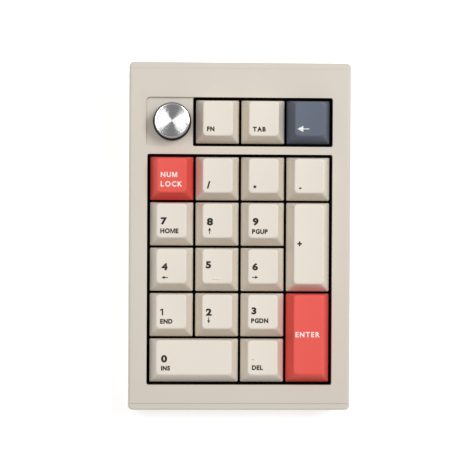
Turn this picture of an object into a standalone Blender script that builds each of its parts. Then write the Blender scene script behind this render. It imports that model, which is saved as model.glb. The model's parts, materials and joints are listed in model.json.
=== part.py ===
"""A numeric keypad with a rotary knob, modelled piece by piece in metres, +Z up.

Everything above the rubber feet is drawn square to the switch plate and hangs from one
empty, which leans the whole stack back by the typing angle. Under that empty the origin is
the middle of the third row of number keys on the plate's top face, +X is to the right,
+Y to the rear and +Z away from the plate.
"""

import math

import bmesh
import bpy
from mathutils import Matrix, Vector

MM = 0.001

# Clearances
SEAM = 0.3 * MM  # between pieces that rest on or beside each other
SOCKET_FIT = 0.15 * MM  # between a keycap's cross socket and the switch stem
OVERLAP = 0.2 * MM  # how far shapes that are joined reach into each other
OVERSHOOT = 1.0 * MM  # how far a cutter passes the faces that it opens

# Flat sides that round shapes are drawn with
SCREW_SIDES = 12
BOSS_SIDES = 16
ROUND_SIDES = 24
KNOB_SIDES = 48
CORNER_STEPS = 4  # in a quarter turn of the case's and its openings' corners
SHARP_ANGLE = math.radians(32.0)

# Key grid
PITCH = 19.05 * MM
COLUMNS = 4
ROWS = 6
ORIGIN_ROW = 3  # the row, counted from the rear, that the origin lies in
FUNCTION_GAP = 4.76 * MM  # extra space between the function row and the row before it
TYPING_ANGLE = math.radians(5.0)

# Levels over the plate's top face
PLATE_THICKNESS = 1.5 * MM
CASE_TOP = 8.5 * MM
PRESSED_LEVEL = 2.3 * MM  # of a keycap's skirt when its key is down
BOARD_TOP = -5.0 * MM
BOARD_THICKNESS = 1.6 * MM

# Keycaps
KEY_GAP = 0.9 * MM
CAP_WALL = 1.4 * MM
CAP_ROOF = 1.6 * MM
CAP_CORNER = 0.9 * MM
CAP_TOP_CORNER = 1.7 * MM
CAP_INNER_CORNER = 0.3 * MM
CAP_EDGE = 0.5 * MM  # height of the rounding where the sides meet the top
CAP_EDGE_RUN = 0.3 * MM  # how far that rounding draws the top in
SIDE_SLOPE = 2.93 * MM
BOSS_RADIUS = 2.75 * MM
KEY_TRAVEL = 4.0 * MM
# For each row from the rear: height over the skirt, lean of the top face in degrees,
# and how far the front and rear sides draw in
CAP_ROWS = (
    (8.6 * MM, 4.0, 3.00 * MM, 0.95 * MM),
    (8.6 * MM, 4.0, 3.15 * MM, 0.80 * MM),
    (7.9 * MM, 2.0, 3.45 * MM, 0.55 * MM),
    (7.5 * MM, 0.0, 3.55 * MM, 0.40 * MM),
    (7.7 * MM, -1.5, 3.75 * MM, 0.25 * MM),
    (7.7 * MM, -1.5, 3.60 * MM, 0.20 * MM),
)

# Switches
HOUSING_SIDE = 14.0 * MM
FLANGE_SIDE = 15.6 * MM
FLANGE_HEIGHT = 1.0 * MM
HOUSING_TOP_SIDE = 10.2 * MM
HOUSING_RISE = 0.3 * MM  # of a switch housing over the skirt's level
STEM_RISE = 0.6 * MM  # of a stem's shoulder over the skirt's level
WELL_FLOOR = 1.1 * MM
STEM_WIDTH = 7.2 * MM
STEM_DEPTH = 5.6 * MM
STEM_LENGTH = 5.9 * MM
CROSS_SPAN = 4.1 * MM
CROSS_ARM_X = 1.17 * MM
CROSS_ARM_Y = 1.29 * MM
CROSS_HEIGHT = 3.6 * MM

# Stabilisers of the keys two pitches long
STAB_SPREAD = 11.94 * MM
STAB_POST = 4.6 * MM
WIRE_RADIUS = 0.7 * MM
WIRE_TIP_GAP = 0.92 * MM  # from a level arm's tip to the key's axis

# Case
CASE_WALL = 2.5 * MM
TOP_THICKNESS = 2.5 * MM
SIDE_BORDER = 7.65 * MM
REAR_BORDER = 14.6 * MM
FRONT_BORDER = 10.5 * MM
KEY_CLEARANCE = 1.2 * MM  # from the outer keys to the edge of their opening
OPENING_CORNER = 0.8 * MM
POCKET_CORNER = 1.6 * MM
POCKET_MARGIN = 0.5 * MM  # of the pocket beyond the openings, at the left
LIP = 2.5 * MM  # thickness of the lower shell's end lips
PARTING_LEVEL = -2.0 * MM  # where the two shells meet along the sides
FLOOR_SPACE = 2.7 * MM  # under the board at the front, where it is least
CASE_CORNER = 2.0 * MM
SIDE_ROUNDING = 1.2 * MM
LIP_ROUNDING = 0.6 * MM
BASE_CHAMFER = 1.0 * MM
SCREW_BOSS_RADIUS = 2.6 * MM
SCREW_BORE_RADIUS = 1.3 * MM
SCREW_HEAD_RADIUS = 2.6 * MM
SCREW_HEAD_DEPTH = 1.9 * MM

# Knob and rotary encoder
POCKET_DEPTH = 1.5 * MM
KNOB_BASE_RADIUS = 8.0 * MM
KNOB_TOP_RADIUS = 7.35 * MM
KNOB_HEIGHT = 6.8 * MM
KNOB_TRAVEL = 0.5 * MM
KNOB_PRESSED_GAP = 0.5 * MM  # from the pocket's floor to the knob when it is down
KNOB_CHAMFER = 0.45 * MM
KNOB_CAVITY_RADIUS = 5.6 * MM
KNOB_CAVITY_DEPTH = 1.6 * MM
KNOB_ROOF = 2.2 * MM  # over the end of the shaft
KNOB_FOOT_CHAMFER = 0.2 * MM
KNOB_COLLAR = 0.9 * MM  # height at which the wide base starts to draw in
KNOB_FLARE = 1.6 * MM  # height at which it has drawn in to the grip
SHAFT_RADIUS = 1.9 * MM
ROTOR_RADIUS = 3.1 * MM
COLLAR_RADIUS = 4.3 * MM
ENCODER_SIDE = 12.2 * MM
ENCODER_HEIGHT = 6.5 * MM
COLLAR_TOP = 4.6 * MM
ROTOR_REACH = 1.2 * MM  # of the rotor above the collar
ROTOR_FLOOR = 0.8 * MM
ENCODER_FLOOR = 1.0 * MM
SHAFT_HOLE_RADIUS = 4.0 * MM

# Board, damping pad and battery
BOARD_CORNER = 1.0 * MM
BOARD_END_GAP = 1.4 * MM  # from the cavity's ends to the board
PAD_GAP = 2.4 * MM  # under the board, for its components
PAD_EDGE = 1.2 * MM  # thickness of the pad's front edge, where it is least
PAD_SETBACK = 2.0 * MM  # from the socket to the pad
BATTERY_SIZE = (40.0 * MM, 30.0 * MM, 4.6 * MM)
BATTERY_Y = 30.0 * MM
BATTERY_CORNER = 1.5 * MM
BATTERY_EDGE = 1.15 * MM  # how far its long sides are drawn in

# USB socket and power switch at the rear
SOCKET_WIDTH = 8.94 * MM
SOCKET_HEIGHT = 3.26 * MM
SOCKET_LENGTH = 7.4 * MM
SOCKET_WALL = 0.35 * MM
SOCKET_FLOOR = 1.6 * MM
TONGUE_WIDTH = 6.7 * MM
TONGUE_THICKNESS = 0.7 * MM
TONGUE_REACH = 4.6 * MM
SWITCH_X = 22.0 * MM
SWITCH_WIDTH = 11.0 * MM
SWITCH_DEPTH = 4.4 * MM
SWITCH_HEIGHT = 3.6 * MM
SLIDER_WIDTH = 3.4 * MM
SLIDER_HEIGHT = 1.7 * MM
SLIDER_TRAVEL = 2.0 * MM  # each way from the middle
SLIDER_INSET = 0.4 * MM  # of its tip from the case's rear face
SLOT_DEPTH = 1.6 * MM

# Feet
FOOT_RADIUS = 5.0 * MM
FOOT_HEIGHT = 2.0 * MM
FOOT_RECESS = 0.6 * MM
FOOT_INSET_X = 11.0 * MM
FOOT_INSET_FRONT = 18.0 * MM
FOOT_INSET_REAR = 18.0 * MM

# Name, column, row, width and height in pitches, colour
KEYS = (
    ("fn", 1, 0, 1, 1, "ivory"),
    ("tab", 2, 0, 1, 1, "ivory"),
    ("backspace", 3, 0, 1, 1, "slate"),
    ("num_lock", 0, 1, 1, 1, "red"),
    ("divide", 1, 1, 1, 1, "ivory"),
    ("multiply", 2, 1, 1, 1, "ivory"),
    ("minus", 3, 1, 1, 1, "ivory"),
    ("seven", 0, 2, 1, 1, "ivory"),
    ("eight", 1, 2, 1, 1, "ivory"),
    ("nine", 2, 2, 1, 1, "ivory"),
    ("plus", 3, 2, 1, 2, "ivory"),
    ("four", 0, 3, 1, 1, "ivory"),
    ("five", 1, 3, 1, 1, "ivory"),
    ("six", 2, 3, 1, 1, "ivory"),
    ("one", 0, 4, 1, 1, "ivory"),
    ("two", 1, 4, 1, 1, "ivory"),
    ("three", 2, 4, 1, 1, "ivory"),
    ("enter", 3, 4, 1, 2, "red"),
    ("zero", 0, 5, 2, 1, "ivory"),
    ("decimal", 2, 5, 1, 1, "ivory"),
)

# Name: sRGB colour, roughness, metallic
FINISHES = {
    "ivory": ((231, 222, 210), 0.55, 0.0),
    "red": ((240, 98, 88), 0.55, 0.0),
    "slate": ((104, 113, 128), 0.55, 0.0),
    "case": ((216, 208, 197), 0.50, 0.0),
    "stem": ((150, 96, 60), 0.45, 0.0),
    "plate": ((28, 28, 30), 0.50, 0.6),
    "board": ((22, 40, 32), 0.45, 0.0),
    "foam": ((52, 52, 55), 0.95, 0.0),
    "battery": ((150, 152, 156), 0.40, 0.3),
    "knob": ((214, 214, 214), 0.25, 1.0),
    "steel": ((176, 178, 180), 0.30, 1.0),
    "encoder": ((60, 62, 66), 0.45, 0.2),
    "black": ((26, 26, 28), 0.55, 0.0),
    "rubber": ((34, 34, 36), 0.85, 0.0),
}

# Sizes that follow from the ones above
SKIRT = PITCH - KEY_GAP
SKIRT_LEVEL = PRESSED_LEVEL + KEY_TRAVEL
ROW_1_Y = (ORIGIN_ROW - 1) * PITCH
FUNCTION_Y = ROW_1_Y + PITCH + FUNCTION_GAP
GRID_HALF_WIDTH = ((COLUMNS - 1) * PITCH + SKIRT) / 2
LAST_ROW_Y = (ORIGIN_ROW - ROWS + 1) * PITCH
OPENING_HALF_WIDTH = GRID_HALF_WIDTH + KEY_CLEARANCE
NUMBER_OPENING_Y = (
    LAST_ROW_Y - SKIRT / 2 - KEY_CLEARANCE,
    ROW_1_Y + SKIRT / 2 + KEY_CLEARANCE,
)
FUNCTION_OPENING_Y = (
    FUNCTION_Y - SKIRT / 2 - KEY_CLEARANCE,
    FUNCTION_Y + SKIRT / 2 + KEY_CLEARANCE,
)
KNOB_X = -(COLUMNS - 1) / 2 * PITCH
POCKET_RIGHT = KNOB_X + PITCH - SKIRT / 2 - KEY_CLEARANCE
CASE_HALF_WIDTH = OPENING_HALF_WIDTH + SIDE_BORDER
CASE_FRONT = NUMBER_OPENING_Y[0] - FRONT_BORDER
CASE_REAR = FUNCTION_OPENING_Y[1] + REAR_BORDER
FRAME_FRONT = CASE_FRONT + LIP + SEAM
FRAME_REAR = CASE_REAR - LIP - SEAM
POCKET_FLOOR = CASE_TOP - POCKET_DEPTH
KNOB_BOTTOM = POCKET_FLOOR + KNOB_PRESSED_GAP + KNOB_TRAVEL
KNOB_TOP = KNOB_BOTTOM + KNOB_HEIGHT
BOARD_BOTTOM = BOARD_TOP - BOARD_THICKNESS
BASE_FRONT_Z = BOARD_BOTTOM - FLOOR_SPACE - CASE_WALL
PAD_TOP = BOARD_BOTTOM - PAD_GAP
HOUSING_TOP = SKIRT_LEVEL + HOUSING_RISE
STEM_SHOULDER = SKIRT_LEVEL + STEM_RISE
BOSS_X = CASE_HALF_WIDTH - CASE_WALL - SEAM - SCREW_BOSS_RADIUS
BOSS_SETBACK = LIP + SEAM + CASE_WALL + SEAM + SCREW_BOSS_RADIUS
BOARD_HALF_WIDTH = BOSS_X - SCREW_BOSS_RADIUS - SEAM
WIRE_ARM = PITCH / 2 - WIRE_TIP_GAP
STAB_ANGLE = math.asin(KEY_TRAVEL / WIRE_ARM)
WIRE_LEVEL = SKIRT_LEVEL - KEY_TRAVEL - WIRE_RADIUS - SEAM


def base_z(y, lift=0.0):
    """Level of the case's underside, which lies flat when the stack leans back."""
    return BASE_FRONT_Z + lift - (y - CASE_FRONT) * math.tan(TYPING_ANGLE)


def linear(channel):
    value = channel / 255
    return value / 12.92 if value <= 0.04045 else ((value + 0.055) / 1.055) ** 2.4


def make_material(name, colour, roughness, metallic):
    material = bpy.data.materials.new(name)
    material.use_nodes = True
    shader = material.node_tree.nodes["Principled BSDF"]
    shader.inputs["Base Color"].default_value = [*map(linear, colour), 1]
    shader.inputs["Roughness"].default_value = roughness
    shader.inputs["Metallic"].default_value = metallic
    return material


def ring(x, y, z, corner, steps=2):
    """A rounded rectangle seen from above, anticlockwise. x and y are (low, high) pairs,
    and z is a level or a function of y."""
    corner = min(corner, (x[1] - x[0]) / 2, (y[1] - y[0]) / 2)
    centres = (
        (x[1] - corner, y[0] + corner, -90),
        (x[1] - corner, y[1] - corner, 0),
        (x[0] + corner, y[1] - corner, 90),
        (x[0] + corner, y[0] + corner, 180),
    )
    points = []
    for centre_x, centre_y, start in centres:
        for step in range(steps + 1):
            angle = math.radians(start + 90 * step / steps)
            px = centre_x + corner * math.cos(angle)
            py = centre_y + corner * math.sin(angle)
            points.append(Vector((px, py, z(py) if callable(z) else z)))
    return points


def square_ring(x, y, z):
    """A rectangle seen from above, anticlockwise, with x and y as (low, high) pairs."""
    corners = ((x[0], y[0]), (x[1], y[0]), (x[1], y[1]), (x[0], y[1]))
    return [Vector((px, py, z(py) if callable(z) else z)) for px, py in corners]


def circle(radius, z, sides, x=0.0, y=0.0):
    turns = [math.tau * (side + 0.5) / sides for side in range(sides)]
    return [
        Vector((x + radius * math.cos(turn), y + radius * math.sin(turn), z))
        for turn in turns
    ]


def span(centre, size):
    return (centre - size / 2, centre + size / 2)


def loft(mesh, rings):
    """Skin a stack of rings with quads and cap both ends. A stack that first runs down
    inside and then up outside makes a hollow."""
    loops = [[mesh.verts.new(point) for point in points] for points in rings]
    for below, above in zip(loops, loops[1:]):
        for i, corner in enumerate(below):
            following = (i + 1) % len(below)
            mesh.faces.new((corner, below[following], above[following], above[i]))
    mesh.faces.new(reversed(loops[0]))
    mesh.faces.new(loops[-1])


def block(mesh, x, y, z):
    loft(mesh, [square_ring(x, y, z[0]), square_ring(x, y, z[1])])


def cylinder(mesh, radius, z, sides, x=0.0, y=0.0):
    loft(mesh, [circle(radius, z[0], sides, x, y), circle(radius, z[1], sides, x, y)])


def make_object(name, fill, parent, material=None, location=(0, 0, 0), turn=0.0):
    """An object whose mesh `fill` draws. Without a material it is a helper that only
    joins to or cuts another one."""
    mesh = bmesh.new()
    fill(mesh)
    data = bpy.data.meshes.new(name)
    mesh.to_mesh(data)
    mesh.free()
    obj = bpy.data.objects.new(name, data)
    bpy.context.scene.collection.objects.link(obj)
    obj.parent = parent
    obj.location = location
    obj.rotation_euler.z = turn
    if material:
        data.materials.append(material)
        data.shade_smooth()
        data.set_sharp_from_angle(angle=SHARP_ANGLE)
    else:
        obj.hide_render = True
        obj.display_type = "WIRE"
    return obj


def combine(obj, operation, fill, location=(0, 0, 0), turn=0.0):
    """Join to or cut from an object the shape that `fill` draws in the object's parent."""
    name = f"{obj.name}.{operation.lower()}.{len(obj.modifiers)}"
    helper = make_object(name, fill, obj.parent, None, location, turn)
    modifier = obj.modifiers.new(name, "BOOLEAN")
    modifier.operation = operation
    modifier.solver = "EXACT"
    modifier.object = helper


def key_centre(column, row, wide, tall):
    x = (column + (wide - COLUMNS) / 2) * PITCH
    if row == 0:
        return x, FUNCTION_Y
    return x, (ORIGIN_ROW - row - (tall - 1) / 2) * PITCH


def draw_cap_shell(mesh, row, wide, tall):
    """The hollow cap around the stem's axis, its skirt's lower edge at z = 0."""
    height, lean, front_slope, rear_slope = CAP_ROWS[row]
    half_x = (wide * PITCH - KEY_GAP) / 2
    half_y = (tall * PITCH - KEY_GAP) / 2

    def outline(share, inset, corner):
        """The ring that lies this share of the way up the sloping sides."""
        slope_x = SIDE_SLOPE * share + inset
        x = (-half_x + slope_x, half_x - slope_x)
        y = (
            -half_y + front_slope * share + inset,
            half_y - rear_slope * share - inset,
        )

        def level(at_y):
            tilt = at_y * math.tan(math.radians(lean)) / tall
            return share * (height + tilt)

        return ring(x, y, level, corner)

    roof_share = 1 - CAP_ROOF / height
    edge_share = 1 - CAP_EDGE / height
    loft(
        mesh,
        [
            outline(roof_share, CAP_WALL, CAP_INNER_CORNER),
            outline(0, CAP_WALL, CAP_INNER_CORNER),
            outline(0, 0, CAP_CORNER),
            outline(edge_share, 0, CAP_TOP_CORNER),
            outline(1, CAP_EDGE_RUN, CAP_TOP_CORNER),
        ],
    )


def cap_inner_height(row):
    """Lowest level that is inside the cap's roof everywhere."""
    height = CAP_ROWS[row][0]
    return height - CAP_ROOF / 2


def cross_outline(z, clearance=0.0):
    """The twelve corners of the cross, anticlockwise."""
    reach = CROSS_SPAN / 2 + clearance
    arm_x = CROSS_ARM_X / 2 + clearance
    arm_y = CROSS_ARM_Y / 2 + clearance
    quarter = ((reach, -arm_y), (reach, arm_y), (arm_x, arm_y))
    mirrored = ((arm_x, reach), (-arm_x, reach), (-arm_x, arm_y))
    corners = quarter + mirrored
    corners += tuple((-x, -y) for x, y in corners)
    return [Vector((x, y, z)) for x, y in corners]


def is_long(wide, tall):
    return max(wide, tall) > 1


def make_keycap(parent, finishes, name, column, row, wide, tall, colour):
    x, y = key_centre(column, row, wide, tall)
    place = (x, y, SKIRT_LEVEL)
    cap = make_object(
        f"key_{name}",
        lambda mesh: draw_cap_shell(mesh, row, wide, tall),
        parent,
        finishes[colour],
        place,
    )
    boss_bottom = STEM_SHOULDER + SEAM - SKIRT_LEVEL
    inside = cap_inner_height(row)

    def bosses(mesh):
        cylinder(mesh, BOSS_RADIUS, (boss_bottom, inside), BOSS_SIDES)

    def posts(mesh):
        for end in (-STAB_SPREAD, STAB_SPREAD):
            block(mesh, span(end, STAB_POST), span(0, STAB_POST), (0, inside))

    combine(cap, "UNION", bosses, place)
    if is_long(wide, tall):
        combine(cap, "UNION", posts, place, math.pi / 2 if tall > 1 else 0.0)
    socket_top = STEM_SHOULDER + CROSS_HEIGHT + SEAM - SKIRT_LEVEL
    depth = (boss_bottom - SEAM, socket_top)
    combine(
        cap,
        "DIFFERENCE",
        lambda mesh: loft(mesh, [cross_outline(z, SOCKET_FIT) for z in depth]),
        place,
    )


def make_stem(parent, finishes, name, column, row, wide, tall):
    x, y = key_centre(column, row, wide, tall)
    bottom = STEM_SHOULDER - STEM_LENGTH

    def slider(mesh):
        block(mesh, span(0, STEM_WIDTH), span(0, STEM_DEPTH), (bottom, STEM_SHOULDER))

    def cross(mesh):
        levels = (STEM_SHOULDER - OVERLAP, STEM_SHOULDER + CROSS_HEIGHT)
        loft(mesh, [cross_outline(z) for z in levels])

    place = (x, y, 0)
    stem = make_object(f"stem_{name}", slider, parent, finishes["stem"], place)
    combine(stem, "UNION", cross, place)


def make_wire(parent, finishes, name, column, row, wide, tall):
    """A stabiliser wire: a bar beside the key with an arm to each of its outer posts. Its
    origin lies on the bar, which it turns about."""
    x, y = key_centre(column, row, wide, tall)
    turn = math.pi / 2 if tall > 1 else 0.0
    to_bar = Matrix.Rotation(turn, 3, "Z") @ Vector((0, -PITCH / 2, WIRE_LEVEL))
    tip_y = WIRE_ARM * math.cos(STAB_ANGLE)
    points = (
        (-STAB_SPREAD, tip_y, KEY_TRAVEL),
        (-STAB_SPREAD, 0, 0),
        (STAB_SPREAD, 0, 0),
        (STAB_SPREAD, tip_y, KEY_TRAVEL),
    )
    curve = bpy.data.curves.new(f"wire_{name}", "CURVE")
    curve.dimensions = "3D"
    curve.bevel_depth = WIRE_RADIUS
    curve.bevel_resolution = 1
    curve.use_fill_caps = True
    spline = curve.splines.new("POLY")
    spline.points.add(len(points) - 1)
    for target, point in zip(spline.points, points):
        target.co = (*point, 1)
    curve.materials.append(finishes["steel"])
    wire = bpy.data.objects.new(f"wire_{name}", curve)
    bpy.context.scene.collection.objects.link(wire)
    wire.parent = parent
    wire.location = Vector((x, y, 0)) + to_bar
    wire.rotation_euler.z = turn


def housing_places():
    return [key_centre(*key[1:5]) for key in KEYS]


def make_plate(parent, finishes):
    """The switch plate with the twenty switch housings clipped into it."""
    half_width = CASE_HALF_WIDTH - CASE_WALL - SEAM
    front = FRAME_FRONT + CASE_WALL + SEAM
    rear = FRAME_REAR - CASE_WALL - SEAM

    def slab(mesh):
        block(mesh, (-half_width, half_width), (front, rear), (-PLATE_THICKNESS, 0))

    def housings(mesh):
        levels = (
            (HOUSING_SIDE, BOARD_TOP + SEAM),
            (HOUSING_SIDE, -PLATE_THICKNESS / 2),
            (FLANGE_SIDE, -PLATE_THICKNESS / 2),
            (FLANGE_SIDE, FLANGE_HEIGHT),
            (HOUSING_SIDE, FLANGE_HEIGHT),
            (HOUSING_TOP_SIDE, HOUSING_TOP),
        )
        for x, y in housing_places():
            loft(
                mesh,
                [square_ring(span(x, side), span(y, side), z) for side, z in levels],
            )

    def wells(mesh):
        low = BOARD_TOP + SEAM + WELL_FLOOR
        high = HOUSING_TOP + OVERLAP
        width = STEM_WIDTH + 2 * SEAM
        depth = STEM_DEPTH + 2 * SEAM
        for x, y in housing_places():
            block(mesh, span(x, width), span(y, depth), (low, high))

    def encoder_hole(mesh):
        side = ENCODER_SIDE + 2 * SEAM
        z = (-PLATE_THICKNESS - OVERLAP, OVERLAP)
        block(mesh, span(KNOB_X, side), span(FUNCTION_Y, side), z)

    plate = make_object("switch_plate", slab, parent, finishes["plate"])
    combine(plate, "UNION", housings)
    combine(plate, "DIFFERENCE", wells)
    combine(plate, "DIFFERENCE", encoder_hole)


def boss_places():
    ends = (CASE_FRONT + BOSS_SETBACK, CASE_REAR - BOSS_SETBACK)
    return [(side * BOSS_X, y) for y in ends for side in (-1, 1)]


def make_top_case(parent, finishes):
    """The upper frame: a cover with two key openings, the knob's pocket and side walls."""
    inner = CASE_HALF_WIDTH - CASE_WALL
    ceiling = CASE_TOP - TOP_THICKNESS

    def cover(mesh):
        """The rounded cross-section, drawn along the length."""
        profile = [(CASE_HALF_WIDTH, PARTING_LEVEL)]
        for step in range(CORNER_STEPS + 1):
            angle = math.pi / 2 * step / CORNER_STEPS
            x = CASE_HALF_WIDTH - SIDE_ROUNDING * (1 - math.cos(angle))
            profile.append((x, CASE_TOP - SIDE_ROUNDING * (1 - math.sin(angle))))
        profile += [(-x, z) for x, z in reversed(profile)]
        loft(
            mesh,
            [
                [Vector((x, y, z)) for x, z in profile]
                for y in (FRAME_REAR, FRAME_FRONT)
            ],
        )

    def hollow(mesh):
        y = (FRAME_FRONT + CASE_WALL, FRAME_REAR - CASE_WALL)
        block(mesh, (-inner, inner), y, (PARTING_LEVEL - OVERLAP, ceiling))

    def posts(mesh):
        for x, y in boss_places():
            cylinder(mesh, SCREW_BOSS_RADIUS, (SEAM, ceiling + OVERLAP), SCREW_SIDES, x, y)

    def openings(mesh):
        z = (ceiling - OVERSHOOT, CASE_TOP + OVERSHOOT)
        sides = (-OPENING_HALF_WIDTH, OPENING_HALF_WIDTH)
        for x, y in (
            (sides, NUMBER_OPENING_Y),
            ((POCKET_RIGHT, OPENING_HALF_WIDTH), FUNCTION_OPENING_Y),
        ):
            loft(mesh, [ring(x, y, level, OPENING_CORNER, CORNER_STEPS) for level in z])

    def pocket(mesh):
        x = (-OPENING_HALF_WIDTH - POCKET_MARGIN, POCKET_RIGHT + POCKET_CORNER + OVERSHOOT)
        y = FUNCTION_OPENING_Y
        z = (POCKET_FLOOR, CASE_TOP + OVERSHOOT)
        loft(mesh, [ring(x, y, level, POCKET_CORNER, CORNER_STEPS) for level in z])

    def shaft_hole(mesh):
        z = (ceiling - OVERSHOOT, POCKET_FLOOR + OVERSHOOT)
        cylinder(mesh, SHAFT_HOLE_RADIUS, z, ROUND_SIDES, KNOB_X, FUNCTION_Y)

    case = make_object("top_case", cover, parent, finishes["case"])
    combine(case, "DIFFERENCE", hollow)
    combine(case, "UNION", posts)
    combine(case, "DIFFERENCE", openings)
    combine(case, "DIFFERENCE", pocket)
    combine(case, "DIFFERENCE", shaft_hole)


def foot_places():
    x = CASE_HALF_WIDTH - FOOT_INSET_X
    ends = (CASE_FRONT + FOOT_INSET_FRONT, CASE_REAR - FOOT_INSET_REAR)
    return [(side * x, y) for y in ends for side in (-1, 1)]


def base_disc(mesh, radius, x, y, z):
    """A round plug that stands square to the underside, with x and y placing its axis on
    it and z as the (low, high) levels measured up from it."""
    lean = Matrix.Rotation(-TYPING_ANGLE, 3, "X")
    foot = Vector((x, y, base_z(y)))
    loft(
        mesh,
        [
            [foot + lean @ point for point in circle(radius, level, ROUND_SIDES)]
            for level in z
        ],
    )


def make_bottom_case(parent, finishes):
    """The lower shell: a wedge-shaped tray whose end walls rise as lips to the top."""
    x = (-CASE_HALF_WIDTH, CASE_HALF_WIDTH)
    y = (CASE_FRONT, CASE_REAR)
    inner_x = (x[0] + CASE_WALL, x[1] - CASE_WALL)
    inner_y = (y[0] + LIP, y[1] - LIP)
    through_rear_wall = (inner_y[1] - OVERSHOOT, y[1] + OVERSHOOT)

    def inset(pair, amount):
        return (pair[0] + amount, pair[1] - amount)

    def tray(mesh):
        chamfered_x = inset(x, BASE_CHAMFER)
        chamfered_y = inset(y, BASE_CHAMFER)
        lip_x = inset(x, LIP_ROUNDING)
        lip_y = inset(y, LIP_ROUNDING)
        loft(
            mesh,
            [
                ring(chamfered_x, chamfered_y, base_z, CASE_CORNER, CORNER_STEPS),
                ring(x, y, lambda at: base_z(at, BASE_CHAMFER), CASE_CORNER, CORNER_STEPS),
                ring(x, y, CASE_TOP - LIP_ROUNDING, CASE_CORNER, CORNER_STEPS),
                ring(lip_x, lip_y, CASE_TOP, CASE_CORNER - LIP_ROUNDING, CORNER_STEPS),
            ],
        )

    def cavity(mesh):
        rings = (lambda at: base_z(at, CASE_WALL), CASE_TOP + OVERSHOOT)
        corner = CASE_CORNER - CASE_WALL / 2
        loft(mesh, [ring(inner_x, inner_y, z, corner) for z in rings])

    def saddle(mesh):
        """The space between the end lips that the upper frame's sides drop into."""
        z = (PARTING_LEVEL - SEAM, CASE_TOP + OVERSHOOT)
        block(mesh, inset(x, -OVERSHOOT), inner_y, z)

    def bosses(mesh):
        top = -PLATE_THICKNESS - SEAM
        for boss_x, boss_y in boss_places():
            low = base_z(boss_y, CASE_WALL / 2)
            cylinder(mesh, SCREW_BOSS_RADIUS, (low, top), SCREW_SIDES, boss_x, boss_y)

    def screw_holes(mesh):
        for boss_x, boss_y in boss_places():
            z = (base_z(boss_y, -OVERSHOOT), -PLATE_THICKNESS)
            cylinder(mesh, SCREW_BORE_RADIUS, z, SCREW_SIDES, boss_x, boss_y)

    def head_recesses(mesh):
        for boss_x, boss_y in boss_places():
            z = (-OVERSHOOT, SCREW_HEAD_DEPTH)
            base_disc(mesh, SCREW_HEAD_RADIUS, boss_x, boss_y, z)

    def foot_recesses(mesh):
        for foot_x, foot_y in foot_places():
            z = (-OVERSHOOT, FOOT_RECESS)
            base_disc(mesh, FOOT_RADIUS + SEAM, foot_x, foot_y, z)

    def socket_hole(mesh):
        z = span(socket_middle(), SOCKET_HEIGHT + 2 * SEAM)
        block(mesh, span(0, SOCKET_WIDTH + 2 * SEAM), through_rear_wall, z)

    def slider_slot(mesh):
        z = span(slider_middle(), SLIDER_HEIGHT + 2 * SEAM)
        width = SLIDER_WIDTH + 2 * SLIDER_TRAVEL + 2 * SEAM
        block(mesh, span(SWITCH_X, width), through_rear_wall, z)

    case = make_object("bottom_case", tray, parent, finishes["case"])
    combine(case, "DIFFERENCE", cavity)
    combine(case, "DIFFERENCE", saddle)
    combine(case, "UNION", bosses)
    combine(case, "DIFFERENCE", screw_holes)
    combine(case, "DIFFERENCE", head_recesses)
    combine(case, "DIFFERENCE", foot_recesses)
    combine(case, "DIFFERENCE", socket_hole)
    combine(case, "DIFFERENCE", slider_slot)


def socket_middle():
    return BOARD_BOTTOM - SEAM - SOCKET_HEIGHT / 2


def slider_middle():
    return BOARD_BOTTOM - SEAM - SWITCH_HEIGHT / 2


def board_box():
    front = CASE_FRONT + LIP + BOARD_END_GAP
    rear = CASE_REAR - LIP - BOARD_END_GAP
    return (-BOARD_HALF_WIDTH, BOARD_HALF_WIDTH), (front, rear)


def make_board(parent, finishes):
    x, y = board_box()

    def slab(mesh):
        loft(mesh, [ring(x, y, z, BOARD_CORNER) for z in (BOARD_BOTTOM, BOARD_TOP)])

    make_object("circuit_board", slab, parent, finishes["board"])


def make_pad(parent, finishes):
    """The damping pad that fills the wedge between the board and the floor."""
    x, y = board_box()
    thickness = PAD_TOP - base_z(y[0], CASE_WALL + SEAM)
    y = (
        y[0] + max(0, PAD_EDGE - thickness) / math.tan(TYPING_ANGLE),
        CASE_REAR - LIP - SOCKET_LENGTH - PAD_SETBACK,
    )

    def wedge(mesh):
        rings = (lambda at: base_z(at, CASE_WALL + SEAM), PAD_TOP)
        loft(mesh, [ring(x, y, z, BOARD_CORNER) for z in rings])

    def battery_pocket(mesh):
        width, depth, height = BATTERY_SIZE
        block(
            mesh,
            span(0, width + 2 * SEAM),
            span(BATTERY_Y, depth + 2 * SEAM),
            (PAD_TOP - height - SEAM, PAD_TOP + OVERSHOOT),
        )

    pad = make_object("damping_pad", wedge, parent, finishes["foam"])
    combine(pad, "DIFFERENCE", battery_pocket)


def make_battery(parent, finishes):
    width, depth, height = BATTERY_SIZE
    top = PAD_TOP
    x = span(0, width)
    y = span(BATTERY_Y, depth)

    def pouch(mesh):
        narrow_x = (x[0] + BATTERY_EDGE, x[1] - BATTERY_EDGE)
        loft(
            mesh,
            [
                ring(narrow_x, y, top - height, BATTERY_CORNER),
                ring(x, y, top - height + BATTERY_EDGE, BATTERY_CORNER),
                ring(x, y, top - BATTERY_EDGE, BATTERY_CORNER),
                ring(narrow_x, y, top, BATTERY_CORNER),
            ],
        )

    make_object("battery", pouch, parent, finishes["battery"])


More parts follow.
